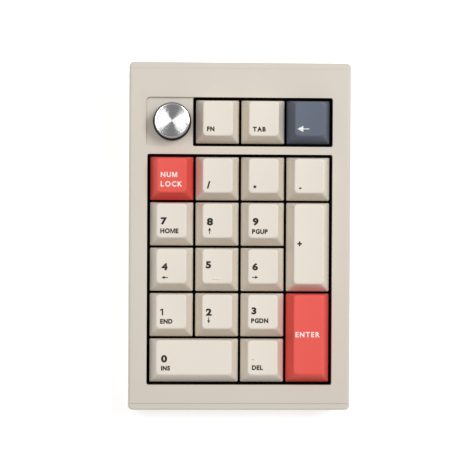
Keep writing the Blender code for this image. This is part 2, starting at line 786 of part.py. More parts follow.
def make_knob(parent, finishes):
    """The knob, the shaft it is pressed on, and the rotor that the shaft slides in. Their
    origins lie on the axis that they turn about."""
    place = (KNOB_X, FUNCTION_Y, 0)
    bore = SHAFT_RADIUS + SEAM
    shaft_top = KNOB_TOP - KNOB_ROOF
    encoder_low = BOARD_TOP + SEAM
    encoder_high = encoder_low + ENCODER_HEIGHT
    rotor_low = encoder_low + ENCODER_FLOOR + SEAM
    rotor_bore_low = rotor_low + ROTOR_FLOOR
    rotor_top = COLLAR_TOP + ROTOR_REACH

    def knob(mesh):
        cavity_top = KNOB_BOTTOM + KNOB_CAVITY_DEPTH
        levels = (
            (bore, shaft_top + SEAM),
            (bore, cavity_top),
            (KNOB_CAVITY_RADIUS, cavity_top),
            (KNOB_CAVITY_RADIUS, KNOB_BOTTOM),
            (KNOB_BASE_RADIUS - KNOB_FOOT_CHAMFER, KNOB_BOTTOM),
            (KNOB_BASE_RADIUS, KNOB_BOTTOM + KNOB_FOOT_CHAMFER),
            (KNOB_BASE_RADIUS, KNOB_BOTTOM + KNOB_COLLAR),
            (KNOB_TOP_RADIUS, KNOB_BOTTOM + KNOB_FLARE),
            (KNOB_TOP_RADIUS, KNOB_TOP - KNOB_CHAMFER),
            (KNOB_TOP_RADIUS - KNOB_CHAMFER, KNOB_TOP),
        )
        loft(mesh, [circle(radius, z, KNOB_SIDES) for radius, z in levels])

    def shaft(mesh):
        z = (rotor_bore_low + SEAM + KNOB_TRAVEL, shaft_top)
        cylinder(mesh, SHAFT_RADIUS, z, ROUND_SIDES)

    def rotor(mesh):
        levels = (
            (ROTOR_RADIUS, rotor_low),
            (ROTOR_RADIUS, rotor_top),
            (bore, rotor_top),
            (bore, rotor_bore_low),
        )
        loft(mesh, [circle(radius, z, ROUND_SIDES) for radius, z in levels])

    def body(mesh):
        sides = span(0, ENCODER_SIDE)
        block(mesh, sides, sides, (encoder_low, encoder_high))

    def collar(mesh):
        z = (encoder_high - OVERLAP, COLLAR_TOP)
        cylinder(mesh, COLLAR_RADIUS, z, ROUND_SIDES)

    def collar_bore(mesh):
        z = (encoder_low + ENCODER_FLOOR, COLLAR_TOP + OVERSHOOT)
        cylinder(mesh, ROTOR_RADIUS + SEAM, z, ROUND_SIDES)

    make_object("knob", knob, parent, finishes["knob"], place)
    make_object("encoder_shaft", shaft, parent, finishes["steel"], place)
    make_object("encoder_rotor", rotor, parent, finishes["black"], place)
    encoder = make_object("encoder_body", body, parent, finishes["encoder"], place)
    combine(encoder, "UNION", collar, place)
    combine(encoder, "DIFFERENCE", collar_bore, place)


def make_socket(parent, finishes):
    """The USB socket's shell with its contact tongue, its mouth in the rear wall."""
    mouth = CASE_REAR - SEAM
    back = mouth - SOCKET_LENGTH
    middle = socket_middle()

    def tube(inset, y, steps=3):
        x = span(0, SOCKET_WIDTH - 2 * inset)
        z = span(0, SOCKET_HEIGHT - 2 * inset)
        outline = ring(x, z, 0, SOCKET_HEIGHT / 2 - inset, steps)
        return [Vector((-point.x, y, middle + point.y)) for point in outline]

    def shell(mesh):
        loft(
            mesh,
            [
                tube(SOCKET_WALL, back + SOCKET_FLOOR),
                tube(SOCKET_WALL, mouth),
                tube(0, mouth),
                tube(0, back),
            ],
        )

    def tongue(mesh):
        y = (back + SOCKET_FLOOR / 2, back + SOCKET_FLOOR + TONGUE_REACH)
        block(mesh, span(0, TONGUE_WIDTH), y, span(middle, TONGUE_THICKNESS))

    socket = make_object("usb_socket", shell, parent, finishes["steel"])
    combine(socket, "UNION", tongue)


def make_power_switch(parent, finishes):
    """The slide switch on the board's underside and the slider that a nail moves."""
    rear = CASE_REAR - LIP - SEAM
    middle = slider_middle()
    slot_floor = rear - SLOT_DEPTH

    def body(mesh):
        y = (rear - SWITCH_DEPTH, rear)
        block(mesh, span(0, SWITCH_WIDTH), y, span(middle, SWITCH_HEIGHT))

    def slot(mesh):
        width = SLIDER_WIDTH + 2 * SLIDER_TRAVEL + 2 * SEAM
        z = span(middle, SLIDER_HEIGHT + 2 * SEAM)
        block(mesh, span(0, width), (slot_floor, rear + OVERSHOOT), z)

    def slider(mesh):
        y = (slot_floor + SEAM, CASE_REAR - SLIDER_INSET)
        block(mesh, span(0, SLIDER_WIDTH), y, span(middle, SLIDER_HEIGHT))

    place = (SWITCH_X, 0, 0)
    switch = make_object("power_switch", body, parent, finishes["encoder"], place)
    combine(switch, "DIFFERENCE", slot, place)
    make_object("power_slider", slider, parent, finishes["black"], place)


def make_feet(parent, finishes):
    names = ("front_left", "front_right", "rear_left", "rear_right")
    for name, (x, y) in zip(names, foot_places()):

        def disc(mesh, x=x, y=y):
            top = FOOT_RECESS - SEAM
            base_disc(mesh, FOOT_RADIUS, x, y, (top - FOOT_HEIGHT, top))

        make_object(f"foot_{name}", disc, parent, finishes["rubber"])


def rest_on_ground(stack):
    """Move the stack so that the box around all pieces stands centred on the origin."""
    bpy.context.view_layer.update()
    graph = bpy.context.evaluated_depsgraph_get()
    corners = []
    for obj in bpy.context.scene.objects:
        if obj.type == "EMPTY" or obj.hide_render:
            continue
        evaluated = obj.evaluated_get(graph)
        shape = evaluated.to_mesh()
        corners += [evaluated.matrix_world @ vertex.co for vertex in shape.vertices]
        evaluated.to_mesh_clear()
    low = Vector(min(corner[axis] for corner in corners) for axis in range(3))
    high = Vector(max(corner[axis] for corner in corners) for axis in range(3))
    stack.location -= Vector(((low.x + high.x) / 2, (low.y + high.y) / 2, low.z))


def main():
    for obj in list(bpy.data.objects):
        bpy.data.objects.remove(obj)
    finishes = {name: make_material(name, *look) for name, look in FINISHES.items()}
    stack = bpy.data.objects.new("leaning_stack", None)
    stack.rotation_euler.x = TYPING_ANGLE
    bpy.context.scene.collection.objects.link(stack)

    for key in KEYS:
        make_keycap(stack, finishes, *key)
        make_stem(stack, finishes, *key[:5])
        if is_long(*key[3:5]):
            make_wire(stack, finishes, *key[:5])
    make_plate(stack, finishes)
    make_top_case(stack, finishes)
    make_bottom_case(stack, finishes)
    make_board(stack, finishes)
    make_pad(stack, finishes)
    make_battery(stack, finishes)
    make_knob(stack, finishes)
    make_socket(stack, finishes)
    make_power_switch(stack, finishes)
    make_feet(stack, finishes)
    rest_on_ground(stack)


main()
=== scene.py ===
"""Numeric keypad: the finished looks of the packed model, laid out as a Blender add-on.

Each operator makes one piece or one group of like pieces from the sizes and colours in the
scene's settings, and the panel in the 3D view's sidebar lists them. Pieces are drawn square
to the switch plate, in the deck's own directions, and then leaned back with it.
"""

import json
import math

import bmesh
import bpy
from bpy.props import FloatProperty, FloatVectorProperty, IntProperty, PointerProperty
from mathutils import Matrix, Vector


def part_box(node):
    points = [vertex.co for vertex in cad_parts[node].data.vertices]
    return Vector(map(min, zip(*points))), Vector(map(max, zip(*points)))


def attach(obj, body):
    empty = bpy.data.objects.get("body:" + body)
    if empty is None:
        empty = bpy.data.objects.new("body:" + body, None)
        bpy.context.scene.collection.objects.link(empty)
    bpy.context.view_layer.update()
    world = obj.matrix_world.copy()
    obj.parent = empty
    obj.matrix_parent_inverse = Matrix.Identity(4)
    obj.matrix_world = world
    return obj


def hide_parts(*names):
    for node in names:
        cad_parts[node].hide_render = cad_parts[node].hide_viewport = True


bl_info = {
    "name": "Numeric keypad",
    "version": (1, 0, 0),
    "blender": (4, 5, 0),
    "location": "3D View > Sidebar > Keypad",
    "description": "Keycaps, knob, case and stage of a desk numeric keypad",
    "category": "Object",
}

MM = 0.001
SHARP_ANGLE = math.radians(40)  # between faces whose shared edge stays crisp or is rounded
FLAT_ANGLE = math.radians(0.5)  # between faces that count as one flat

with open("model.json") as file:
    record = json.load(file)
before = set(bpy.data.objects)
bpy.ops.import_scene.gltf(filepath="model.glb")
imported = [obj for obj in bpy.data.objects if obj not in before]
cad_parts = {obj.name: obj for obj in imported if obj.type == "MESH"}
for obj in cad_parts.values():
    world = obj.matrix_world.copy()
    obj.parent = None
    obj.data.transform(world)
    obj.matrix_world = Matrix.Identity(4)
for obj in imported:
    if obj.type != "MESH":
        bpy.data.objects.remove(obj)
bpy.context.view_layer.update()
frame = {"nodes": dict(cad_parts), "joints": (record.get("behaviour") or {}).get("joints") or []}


# ---------------- the deck's directions


def joint_axis(name):
    return Vector(next(joint["axis"] for joint in frame["joints"] if joint["name"] == name))


def measured(node, place):
    """Lowest and highest corners of a CAD node in the directions of a matrix."""
    back = place.inverted()
    points = [back @ vertex.co for vertex in frame["nodes"][node].data.vertices]
    low = Vector([min(point[axis] for point in points) for axis in range(3)])
    high = Vector([max(point[axis] for point in points) for axis in range(3)])
    return low, high


PRESS = joint_axis("five_press")
LEAN = math.atan2(PRESS.y, -PRESS.z)
LEANING = Matrix.Rotation(LEAN, 4, "X")
FIVE_STEM = measured("stem_five", LEANING)
SIX_STEM = measured("stem_six", LEANING)
PITCH = SIX_STEM[0].x - FIVE_STEM[0].x
# The deck's origin is midway between the 5 and 6 keys, level with the caps' skirts
DECK = LEANING @ Matrix.Translation(
    (
        (FIVE_STEM[0].x + FIVE_STEM[1].x + PITCH) / 2,
        (FIVE_STEM[0].y + FIVE_STEM[1].y) / 2,
        measured("key_five", LEANING)[0].z,
    )
)


def deck_box(node):
    return measured(node, DECK)


def underside(x, y):
    """The point of the case's flat underside below a place on the deck."""
    above = DECK @ Vector((x, y, 0))
    fall = (above.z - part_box("bottom_case")[0][2]) / math.cos(LEAN)
    return DECK @ Vector((x, y, -fall))


# ---------------- sizes of the parts

CAP_WALL = 1.4 * MM
CAP_ROOF = 1.6 * MM
SKIRT_CORNER = 0.5 * MM
TOP_CORNER = 1.7 * MM
SIDE_SLOPE = 2.93 * MM
# For each row from the rear: height of the cap over its skirt, lean of its top in degrees,
# and how far its front and rear sides draw in
CAP_ROWS = (
    (8.6 * MM, 4.0, 3.00 * MM, 0.95 * MM),
    (8.6 * MM, 4.0, 3.15 * MM, 0.80 * MM),
    (7.9 * MM, 2.0, 3.45 * MM, 0.55 * MM),
    (7.5 * MM, 0.0, 3.55 * MM, 0.40 * MM),
    (7.7 * MM, -1.5, 3.75 * MM, 0.25 * MM),
    (7.7 * MM, -1.5, 3.60 * MM, 0.20 * MM),
)
KEY_ROWS = (
    ("fn", "tab", "backspace"),
    ("num_lock", "divide", "multiply", "minus"),
    ("seven", "eight", "nine", "plus"),
    ("four", "five", "six"),
    ("one", "two", "three", "enter"),
    ("zero", "decimal"),
)
COLOURED_CAPS = {"backspace": "slate", "num_lock": "red", "enter": "red"}  # the rest are ivory
KEYS = {
    name: (row, COLOURED_CAPS.get(name, "ivory"))
    for row, names in enumerate(KEY_ROWS)
    for name in names
}
BOSS_RADIUS = 2.75 * MM
BOSS_RISE = 0.9 * MM  # of the boss's lower end over the skirt
SOCKET_DEPTH = 3.6 * MM
CROSS_REACH = 2.2 * MM
CROSS_ARM_X = 0.735 * MM
CROSS_ARM_Y = 0.795 * MM
STAB_SPREAD = 11.94 * MM
STAB_POST = 4.6 * MM
STAB_CORNER = 0.5 * MM
HOMING_BAR = (2.95 * MM, 0.55 * MM, 0.35 * MM)  # length, width, height
HOMING_PLACE = (-0.45 * MM, 1.8 * MM)  # from the cap's middle and from its top's front edge

# Knob
TURNED_SIDES = 128
KNOB_WALL = 2.4 * MM  # around the hollow that clears the encoder
KNOB_FOOT = 0.8 * MM  # height of the foot's upright edge
KNOB_FOOT_ROUNDING = 0.2 * MM
KNOB_NECK = 1.6 * MM  # level of the hollow's roof, where the waist starts
KNOB_WAIST_INSET = 0.75 * MM
KNOB_RIM_INSET = 0.65 * MM
KNOB_GROOVE = (0.3 * MM, 0.35 * MM)  # depth and height of the groove under the cap
KNOB_LAP = 0.25 * MM  # of the flat rim inside the cut edge
RIM_ROUNDING = 0.08 * MM
FACE_RECESS = 0.12 * MM
FACE_BED = 0.1 * MM  # of the face's edge under the recess
FACE_CENTRE = 0.05 * MM  # radius of the pip that the tool leaves
RIM_UNDERLAP = 0.05 * MM  # of the rim under the face

# Marks on the caps, in millimetres: text or arrow, height (length for an arrow), margin
# from the left edge of the top, and rise from its front edge
MARKS = {
    "fn": (("FN", 2.0, 1.6, 1.75),),
    "tab": (("TAB", 2.0, 1.6, 1.75),),
    "backspace": (("left", 5.0, 1.05, 3.0),),
    "num_lock": (("NUM", 2.15, 1.6, 6.3), ("LOCK", 2.2, 1.6, 2.4)),
    "divide": (("/", 3.1, 1.65, 1.65),),
    "multiply": (("*", 1.7, 1.65, 1.75),),
    "minus": (("-", 0.6, 1.9, 1.7),),
    "seven": (("7", 3.0, 1.65, 5.4), ("HOME", 2.05, 1.5, 1.75)),
    "eight": (("8", 3.1, 1.75, 5.1), ("up", 2.6, 2.9, 1.65)),
    "nine": (("9", 3.05, 1.75, 5.25), ("PGUP", 2.0, 1.5, 1.65)),
    "plus": (("+", 2.0, 1.35, 15.7),),
    "four": (("4", 2.9, 2.1, 5.35), ("left", 2.6, 2.1, 2.35)),
    "five": (("5", 3.0, 1.35, 6.2),),
    "six": (("6", 2.95, 1.7, 5.45), ("right", 2.6, 1.6, 2.55)),
    "one": (("1", 2.8, 1.6, 5.45), ("END", 2.0, 1.6, 2.0)),
    "two": (("2", 3.0, 1.5, 5.35), ("down", 2.5, 2.7, 2.2)),
    "three": (("3", 2.9, 1.45, 6.0), ("PGDN", 2.0, 1.3, 2.35)),
    "enter": (("ENTER", 2.2, 0.8, 15.55),),
    "zero": (("0", 3.05, 2.05, 5.1), ("INS", 1.95, 2.05, 1.75)),
    "decimal": ((".", 0.42, 1.9, 6.1), ("DEL", 2.0, 1.75, 2.0)),
}
ARROW_TURNS = {"right": 0, "up": 90, "left": 180, "down": 270}
ARROW_HEAD = 0.5  # width of an arrow's head as a share of its length
ARROW_SHAFT = 0.36 * MM
ARROW_POINT = 2.0  # length of the head over half its width
LETTER_WIDTH = 0.95  # of the font's letters, as a share of its own widths
FIGURE_WIDTH = 1.2  # of its figures
LETTER_GAP = {"ivory": 0.18 * MM, "red": 0.52 * MM}
LETTER_WEIGHT = {"ivory": 1.6, "red": 0.8}  # over the weight that is set
CAPITAL_SHARE = 0.682  # height of the font's capitals over its size
M_WIDTH = 0.97  # of a capital M over its height
M_STROKE = 0.165  # of its strokes over its height
ONE_FLAG = 0.24  # reach of the flag of a 1 over its height
ONE_STROKE = 0.21  # of its stem over its height
DRAPE_STEP = 0.8 * MM  # between the cuts that let a mark follow the dished top

CASE_WALL = 2.5 * MM
PART_SEAM = 0.3 * MM
FRONT_SEAM_DEPTH = 0.4 * MM  # of the groove over the tongue that closes each seam
REAR_SEAM_DEPTH = 0.12 * MM
SEAM_END_DEPTH = 0.4 * MM  # of each tongue's ends into the case's sides
TONGUE_HEIGHT = 1.0 * MM
TONGUE_BITE = 0.1 * MM  # of each tongue into the shells beside it
SCREW_BOSS_RADIUS = 2.6 * MM
SCREW_HEAD_RADIUS = 2.35 * MM
SCREW_HEAD_DEPTH = 1.9 * MM
SCREW_SIDES = 48
SCREW_SUNK = 0.35 * MM  # of the head's face into the case
SCREW_SEAT_GAP = 0.15 * MM
SCREW_SHANK = (1.1 * MM, 2.0 * MM)  # radius and length
SCREW_ROUNDING = ((0.7, 0.0), (0.3, 0.08), (0.08, 0.28), (0.0, 0.6))  # mm in from the side, up
CROSS_LENGTH = 1.15 * MM  # of each arm of the recess
CROSS_HALF_WIDTH = 0.28 * MM
CROSS_DEPTH = 0.95 * MM
CROSS_TAPER = 0.55  # size of its floor over its mouth
FOOT_SIDES = 64
FOOT_ROUNDING = 0.5 * MM
FOOT_STEPS = 6
SOLE_DEPTH = 0.25 * MM  # of the hollow in the sole
SOLE_RING = ((0.55, 1.0), (0.62, 1.0), (0.66, 0.2), (0.7, 0.0))  # shares of radius and depth
SOLE_CENTRE = 0.15 * MM
FOOT_TOP_CUT = 0.1 * MM

SOCKET_MOUTH_GAP = 1.2 * MM
SOCKET_ROUNDING = 0.06 * MM
SWITCH_ROUNDING = 0.15 * MM
CONTACTS = 12
CONTACT_PITCH = 0.5 * MM
CONTACT_SHARE = 0.55  # width of a contact over their pitch
CONTACT_LEVELS = (0.30 * MM, 0.39 * MM)  # out from the socket's middle
CONTACT_SPAN = (3.0 * MM, 0.5 * MM)  # behind the socket's mouth
CONTACT_CORNER = 0.1 * MM
SLIDER_RIBS = 3
RIB_HEIGHT = 0.35 * MM
RIB_MARGIN = 0.1 * MM
RIB_CORNER = 0.15 * MM
RIB_ROUNDING = 0.12 * MM
BUTTON_CORNER = 0.2 * MM
BUTTON_ROUNDING = 0.05 * MM

LEFT_BOX = ((-0.27, 0.2, 0.95), (0.17, 0.52))  # place over the deck, width and length
RIGHT_BOX = ((0.48, 0.34, 0.88), (0.4, 0.52))

FLOOR_DROP = 0.05 * MM  # of the floor under the feet, so that their faces don't coincide


# ---------------- settings


def from_screen(red, green, blue):
    """A colour as a paint chart gives it, in 8-bit steps, turned to linear light."""
    shares = [channel / 255 for channel in (red, green, blue)]
    return tuple(s / 12.92 if s <= 0.04045 else ((s + 0.055) / 1.055) ** 2.4 for s in shares)


def number_setting(name, description, default, **options):
    return FloatProperty(name=name, description=description, default=default, **options)


def length_setting(name, description, default):
    return number_setting(name, description, default, unit="LENGTH", min=0, precision=5)


def vector_setting(name, description, default, **options):
    return FloatVectorProperty(name=name, description=description, default=default, **options)


def colour_setting(name, description, default):
    return vector_setting(name, description, default, subtype="COLOR", min=0, max=1)


class CapSettings(bpy.types.PropertyGroup):
    """Sizes and colours of the keycaps."""

    edge_radius: length_setting("Edge radius", "Rounding around each cap's top", 0.6 * MM)
    dish_depth: length_setting("Dish depth", "Depth of the hollow in each cap's top", 0.4 * MM)
    ivory: colour_setting("Ivory", "Plastic of most caps", from_screen(236, 227, 214))
    red: colour_setting("Red", "Plastic of the red caps", from_screen(240, 88, 78))
    slate: colour_setting("Slate", "Plastic of the slate cap", from_screen(96, 104, 120))


class MarkSettings(bpy.types.PropertyGroup):
    """The printed marks on the keycaps."""

    thickness: length_setting("Thickness", "How far the ink stands proud", 0.04 * MM)
    weight: number_setting("Weight", "Fattening of the letters", 0.034, min=0)
    dark: colour_setting("Dark ink", "Marks on the ivory caps", from_screen(18, 16, 14))
    light: colour_setting("Light ink", "Marks on coloured caps", from_screen(250, 246, 240))


class KnobSettings(bpy.types.PropertyGroup):
    """The rotary knob."""

    groove_pitch: length_setting("Groove pitch", "Distance between turned grooves", 0.16 * MM)
    groove_slope: number_setting(
        "Groove slope", "Slope of the turned grooves", math.radians(12), subtype="ANGLE"
    )
    cap_height: length_setting("Cap height", "Height of the bright metal cap", 1.3 * MM)
    rim_chamfer: length_setting("Rim chamfer", "Width of the cut edge", 0.45 * MM)
    metal: colour_setting("Metal", "The turned face", (0.46, 0.46, 0.465))
    rim: colour_setting("Rim", "The bright cut rim", (0.86, 0.86, 0.865))
    body: colour_setting("Body", "The dark anodised body", (0.03, 0.027, 0.025))


class CaseSettings(bpy.types.PropertyGroup):
    """The two shells, their screws and their feet."""

    edge_radius: length_setting("Edge radius", "Rounding of the shells' edges", 0.3 * MM)
    edge_steps: IntProperty(
        name="Edge steps", description="Faces across each rounded edge", min=1, default=3
    )
    plastic: colour_setting("Plastic", "Both shells", from_screen(214, 206, 194))
    rubber: colour_setting("Rubber", "The four feet", (0.016, 0.016, 0.017))
    screw: colour_setting("Screws", "Blackened steel", (0.05, 0.05, 0.052))


class InsideSettings(bpy.types.PropertyGroup):
    """Colours of the pieces inside the case."""

    plate: colour_setting("Plate", "Switch plate and housings", (0.004, 0.004, 0.0042))
    stem: colour_setting("Stems", "Switch stems", (0.305, 0.117, 0.045))
    steel: colour_setting("Steel", "Wires, shaft and socket", (0.434, 0.445, 0.456))
    board: colour_setting("Board", "Solder mask", (0.008, 0.021, 0.014))
    foam: colour_setting("Foam", "Damping pad", (0.034, 0.034, 0.038))
    foil: colour_setting("Foil", "Battery pouch", (0.305, 0.314, 0.332))
    dark: colour_setting("Dark plastic", "Switch bodies and slider", (0.02, 0.02, 0.022))
    gold: colour_setting("Gold", "Contacts", (0.83, 0.56, 0.19))


class StageSettings(bpy.types.PropertyGroup):
    """Floor, light and camera."""

    floor: colour_setting("Floor", "Pale paper", (0.93, 0.93, 0.93))
    floor_glow: number_setting("Floor glow", "Light that the floor gives by itself", 0.45, min=0)
    floor_size: length_setting("Floor size", "Side of the floor", 8.0)
    sky: number_setting("Sky", "Strength of the even light", 0.32, min=0)
    left_box: number_setting("Left softbox", "Power of the left light", 2.4, unit="POWER")
    right_box: number_setting("Right softbox", "Power of the right light", 5.65, unit="POWER")
    camera_place: vector_setting(
        "Camera",
        "Camera over the deck's origin, square to the deck",
        (-24.6 * MM, 20.6 * MM, 650.0 * MM),
        subtype="TRANSLATION",
        unit="LENGTH",
    )
    camera_turn: vector_setting(
        "Camera turn",
        "Small turns of the camera about the deck's directions",
        (-0.0108, -0.0361, 0.0051),
        subtype="EULER",
    )
    lens: number_setting("Lens", "Focal length in millimetres", 117.5, unit="CAMERA")


# ---------------- meshes


def polar(radius, turn):
    return Vector((radius * math.cos(turn), radius * math.sin(turn)))


def span(centre, size):
    return (centre - size / 2, centre + size / 2)


def rounded_outline(x, y, corner, corner_steps=6, side_steps=8):
    """Points of a rounded rectangle, anticlockwise, with x and y as (low, high) pairs. Its
    straight sides are divided evenly, so outlines of any size pair up point by point."""
    corner = min(corner, (x[1] - x[0]) / 2, (y[1] - y[0]) / 2)
    centres = (
        (x[1] - corner, y[0] + corner, -90),
        (x[1] - corner, y[1] - corner, 0),
        (x[0] + corner, y[1] - corner, 90),
        (x[0] + corner, y[0] + corner, 180),
    )
    arcs = []
    for centre_x, centre_y, start in centres:
        turns = [math.radians(start + 90 * step / corner_steps) for step in range(corner_steps + 1)]
        arcs.append([Vector((centre_x, centre_y)) + polar(corner, turn) for turn in turns])
    points = []
    for arc, following in zip(arcs, arcs[1:] + arcs[:1]):
        points += arc
        points += [
            arc[-1].lerp(following[0], step / side_steps) for step in range(1, side_steps)
        ]
    return points


def level_ring(points, z):
    return [Vector((point.x, point.y, z)) for point in points]


def circle(radius, z, sides, centre=(0, 0)):
    turns = [math.tau * side / sides for side in range(sides)]
    return level_ring([Vector(centre) + polar(radius, turn) for turn in turns], z)


def loft(mesh, rings):
    """Skin a stack of rings with quads and close both ends."""
    loops = [[mesh.verts.new(point) for point in ring] for ring in rings]
    for below, above in zip(loops, loops[1:]):
        for i, corner in enumerate(below):
            following = (i + 1) % len(below)
            mesh.faces.new((corner, below[following], above[following], above[i]))
    mesh.faces.new(reversed(loops[0]))
    mesh.faces.new(loops[-1])


def lathe(mesh, profile, sides, centre=(0, 0)):
    """Turn a profile of (radius, level) pairs. Its ends are closed flat."""
    loft(mesh, [circle(radius, z, sides, centre) for radius, z in profile])


def rounded_block(mesh, x, y, z, corner, edge, steps=3):
    """A block with rounded corners seen from above and a rounded edge around its top."""
    rings = [level_ring(rounded_outline(x, y, corner, steps, 1), z[0])]
    for step in range(steps + 1):
        angle = math.pi / 2 * step / steps
        inset = edge * (1 - math.cos(angle))
        level = z[1] - edge * (1 - math.sin(angle))
        inner_x = (x[0] + inset, x[1] - inset)
        inner_y = (y[0] + inset, y[1] - inset)
        rings.append(level_ring(rounded_outline(inner_x, inner_y, corner - inset, steps, 1), level))
    loft(mesh, rings)


def prism(mesh, points, z):
    loft(mesh, [level_ring(points, z[0]), level_ring(points, z[1])])


def add_object(name, data):
    obj = bpy.data.objects.new(name, data)
    bpy.context.scene.collection.objects.link(obj)
    return obj


def settle(obj):
    """Smooth shading that keeps flat faces flat and sharp edges crisp."""
    obj.data.shade_smooth()
    obj.data.set_sharp_from_angle(angle=SHARP_ANGLE)
    normals = obj.modifiers.new("even_normals", "WEIGHTED_NORMAL")
    normals.keep_sharp = True


def make_piece(name, draw, finish, body, stands_for=(), place=DECK):
    """A new piece: `draw` fills its mesh, which is then put in place."""
    mesh = bmesh.new()
    draw(mesh)
    bmesh.ops.recalc_face_normals(mesh, faces=mesh.faces)
    data = bpy.data.meshes.new(name)
    mesh.to_mesh(data)
    mesh.free()
    data.transform(place)
    data.materials.append(finish)
    obj = add_object(name, data)
    settle(obj)
    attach(obj, body)
    if stands_for:
        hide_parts(*stands_for)
    return obj


def dress(node, finish, edge=0.0, steps=2):
    """Give a CAD node its finish and, where asked, rounded edges."""
    obj = frame["nodes"][node]
    obj.material_slots[0].material = finish
    if edge:
        flats = obj.modifiers.new("merged_flats", "DECIMATE")
        flats.decimate_type = "DISSOLVE"
        flats.angle_limit = FLAT_ANGLE
        rounding = obj.modifiers.new("rounded_edges", "BEVEL")
        rounding.width = edge
        rounding.segments = steps
        rounding.limit_method = "ANGLE"
        rounding.angle_limit = SHARP_ANGLE
        rounding.harden_normals = True


# ---------------- finishes


class Reading:
    """A number that varies over a surface. Arithmetic on it adds Math nodes."""

    def __init__(self, finish, socket):
        self.finish = finish
        self.socket = socket

    def combined(self, operation, first, second):
        return self.finish.node("ShaderNodeMath", {"operation": operation}, {0: first, 1: second})

    def __add__(self, other):
        return self.combined("ADD", self, other)

    __radd__ = __add__

    def __sub__(self, other):
        return self.combined("SUBTRACT", self, other)

    def __rsub__(self, other):
        return self.combined("SUBTRACT", other, self)

    def __mul__(self, other):
        return self.combined("MULTIPLY", self, other)

    __rmul__ = __mul__

    def between(self, low, high):
        """0 below the first value, 1 above the second and an eased step between them."""
        return self.finish.node(
            "ShaderNodeMapRange",
            {"interpolation_type": "SMOOTHSTEP"},
            {"Value": self, "From Min": low, "From Max": high},
        )


class Finish:
    """A material under construction: its node tree and the shader at its end."""

    def __init__(self, name, **constants):
        self.material = bpy.data.materials.new(name)
        self.material.use_nodes = True
        self.tree = self.material.node_tree
        self.shader = self.tree.nodes["Principled BSDF"]
        self.place = self.node("ShaderNodeTexCoord", output="Object")
        for socket, value in constants.items():
            self.feed(socket.replace("_", " ").title().replace("Ior", "IOR"), value)

    def node(self, kind, settings=None, sockets=None, output=0):
        made = self.tree.nodes.new(kind)
        for name, value in (settings or {}).items():
            setattr(made, name, value)
        for name, value in (sockets or {}).items():
            self.put(made.inputs[name], value)
        return Reading(self, made.outputs[output])

    def put(self, socket, value):
        if isinstance(value, Reading):
            self.tree.links.new(value.socket, socket)
        else:
            socket.default_value = value

    def feed(self, socket, value):
        self.put(self.shader.inputs[socket], value)

    def noise(self, size, detail=2.0, where=None):
        """Soft random patches about `size` across."""
        sockets = {"Vector": where or self.place, "Scale": 1 / size, "Detail": detail}
        return self.node("ShaderNodeTexNoise", sockets=sockets)

    def cells(self, size, feature="F1"):
        sockets = {"Vector": self.place, "Scale": 1 / size}
        return self.node("ShaderNodeTexVoronoi", {"feature": feature}, sockets)

    def stretched(self, x, y, z):
        """The piece's own coordinates, squeezed along each direction."""
        return self.node(
            "ShaderNodeVectorMath", {"operation": "MULTIPLY"}, {0: self.place, 1: (x, y, z)}
        )

    def mixed(self, share, first, second):
        sockets = {0: share, 6: opaque(first), 7: opaque(second)}
        return self.node("ShaderNodeMix", {"data_type": "RGBA"}, sockets, output=2)

    def bump(self, height, depth):
        sockets = {"Strength": 1.0, "Distance": depth, "Height": height}
        self.feed("Normal", self.node("ShaderNodeBump", sockets=sockets, output="Normal"))

    def surface(self, texture, colour, shades, roughness, depth=0.0):
        """Let one texture drive the shade, the roughness and the bump."""
        darker, lighter = (scaled(colour, shade) for shade in shades)
        self.feed("Base Color", self.mixed(texture, darker, lighter))
        self.feed("Roughness", roughness[0] + roughness[1] * texture)
        if depth:
            self.bump(texture, depth)
        return self.material

    def edges(self):
        """1 along outer edges, where hands polish a surface and a highlight is painted, and 0 on
        flats.
        """
        return self.node("ShaderNodeNewGeometry", output="Pointiness").between(0.51, 0.56)


def opaque(colour):
    return colour if isinstance(colour, Reading) else (*colour, 1)


def scaled(colour, factor):
    return tuple(min(channel * factor, 1) for channel in colour)


def moulded_plastic(name, colour, grain=0.22 * MM, depth=0.012 * MM, roughness=0.5):
    """Plastic from a spark-eroded mould: fine even grain, faint flow patches, and edges that
    handling has polished a little, with a painted highlight that lightens their colour."""
    finish = Finish(name, specular_ior_level=0.4)
    texture = finish.noise(grain, 3.0)
    patches = finish.noise(24 * MM, 2.0).between(0.3, 0.7)
    base = finish.mixed(patches, scaled(colour, 0.985), scaled(colour, 1.015))
    speckle = finish.noise(0.5 * MM, 1.0).between(0.35, 0.65)
    base = finish.mixed(speckle * 0.5, base, scaled(colour, 1.03))
    # Along the edges: lower roughness from polish by handling, and a lighter colour that is a
    # painted highlight
    edge_polish_and_highlight = finish.edges()
    finish.feed("Base Color", finish.mixed(edge_polish_and_highlight * 0.35, base, scaled(colour, 1.08)))
    finish.feed("Roughness", roughness + 0.1 * texture - 0.12 * edge_polish_and_highlight)
    finish.bump(texture, depth)
    return finish.material


def printed_ink(name, colour):
    """Dye-printed marks: slightly uneven in tone and a little glossier than the cap."""
    finish = Finish(name, specular_ior_level=0.4)
    patches = finish.noise(0.7 * MM, 3.0).between(0.3, 0.7)
    finish.bump(finish.noise(0.2 * MM), 0.006 * MM)
    return finish.surface(patches, colour, (0.88, 1.06), (0.42, 0.12))


def turned_metal(name, colour):
    """Aluminium cut on a lathe, with hairline streaks from the tool."""
    finish = Finish(name, metallic=1.0)
    return finish.surface(finish.noise(0.12 * MM, 4.0), colour, (0.9, 1.1), (0.15, 0.02))


def anodised(name, colour):
    """Black anodised aluminium, bead blasted first."""
    finish = Finish(name, metallic=0.6)
    return finish.surface(finish.cells(0.09 * MM), colour, (0.8, 1.4), (0.36, 0.15), 0.004 * MM)


def powder_coat(name, colour):
    """Powder-coated steel with its orange-peel skin."""
    finish = Finish(name, specular_ior_level=0.1)
    return finish.surface(finish.noise(0.45 * MM), colour, (0.8, 1.3), (0.6, 0.15), 0.02 * MM)


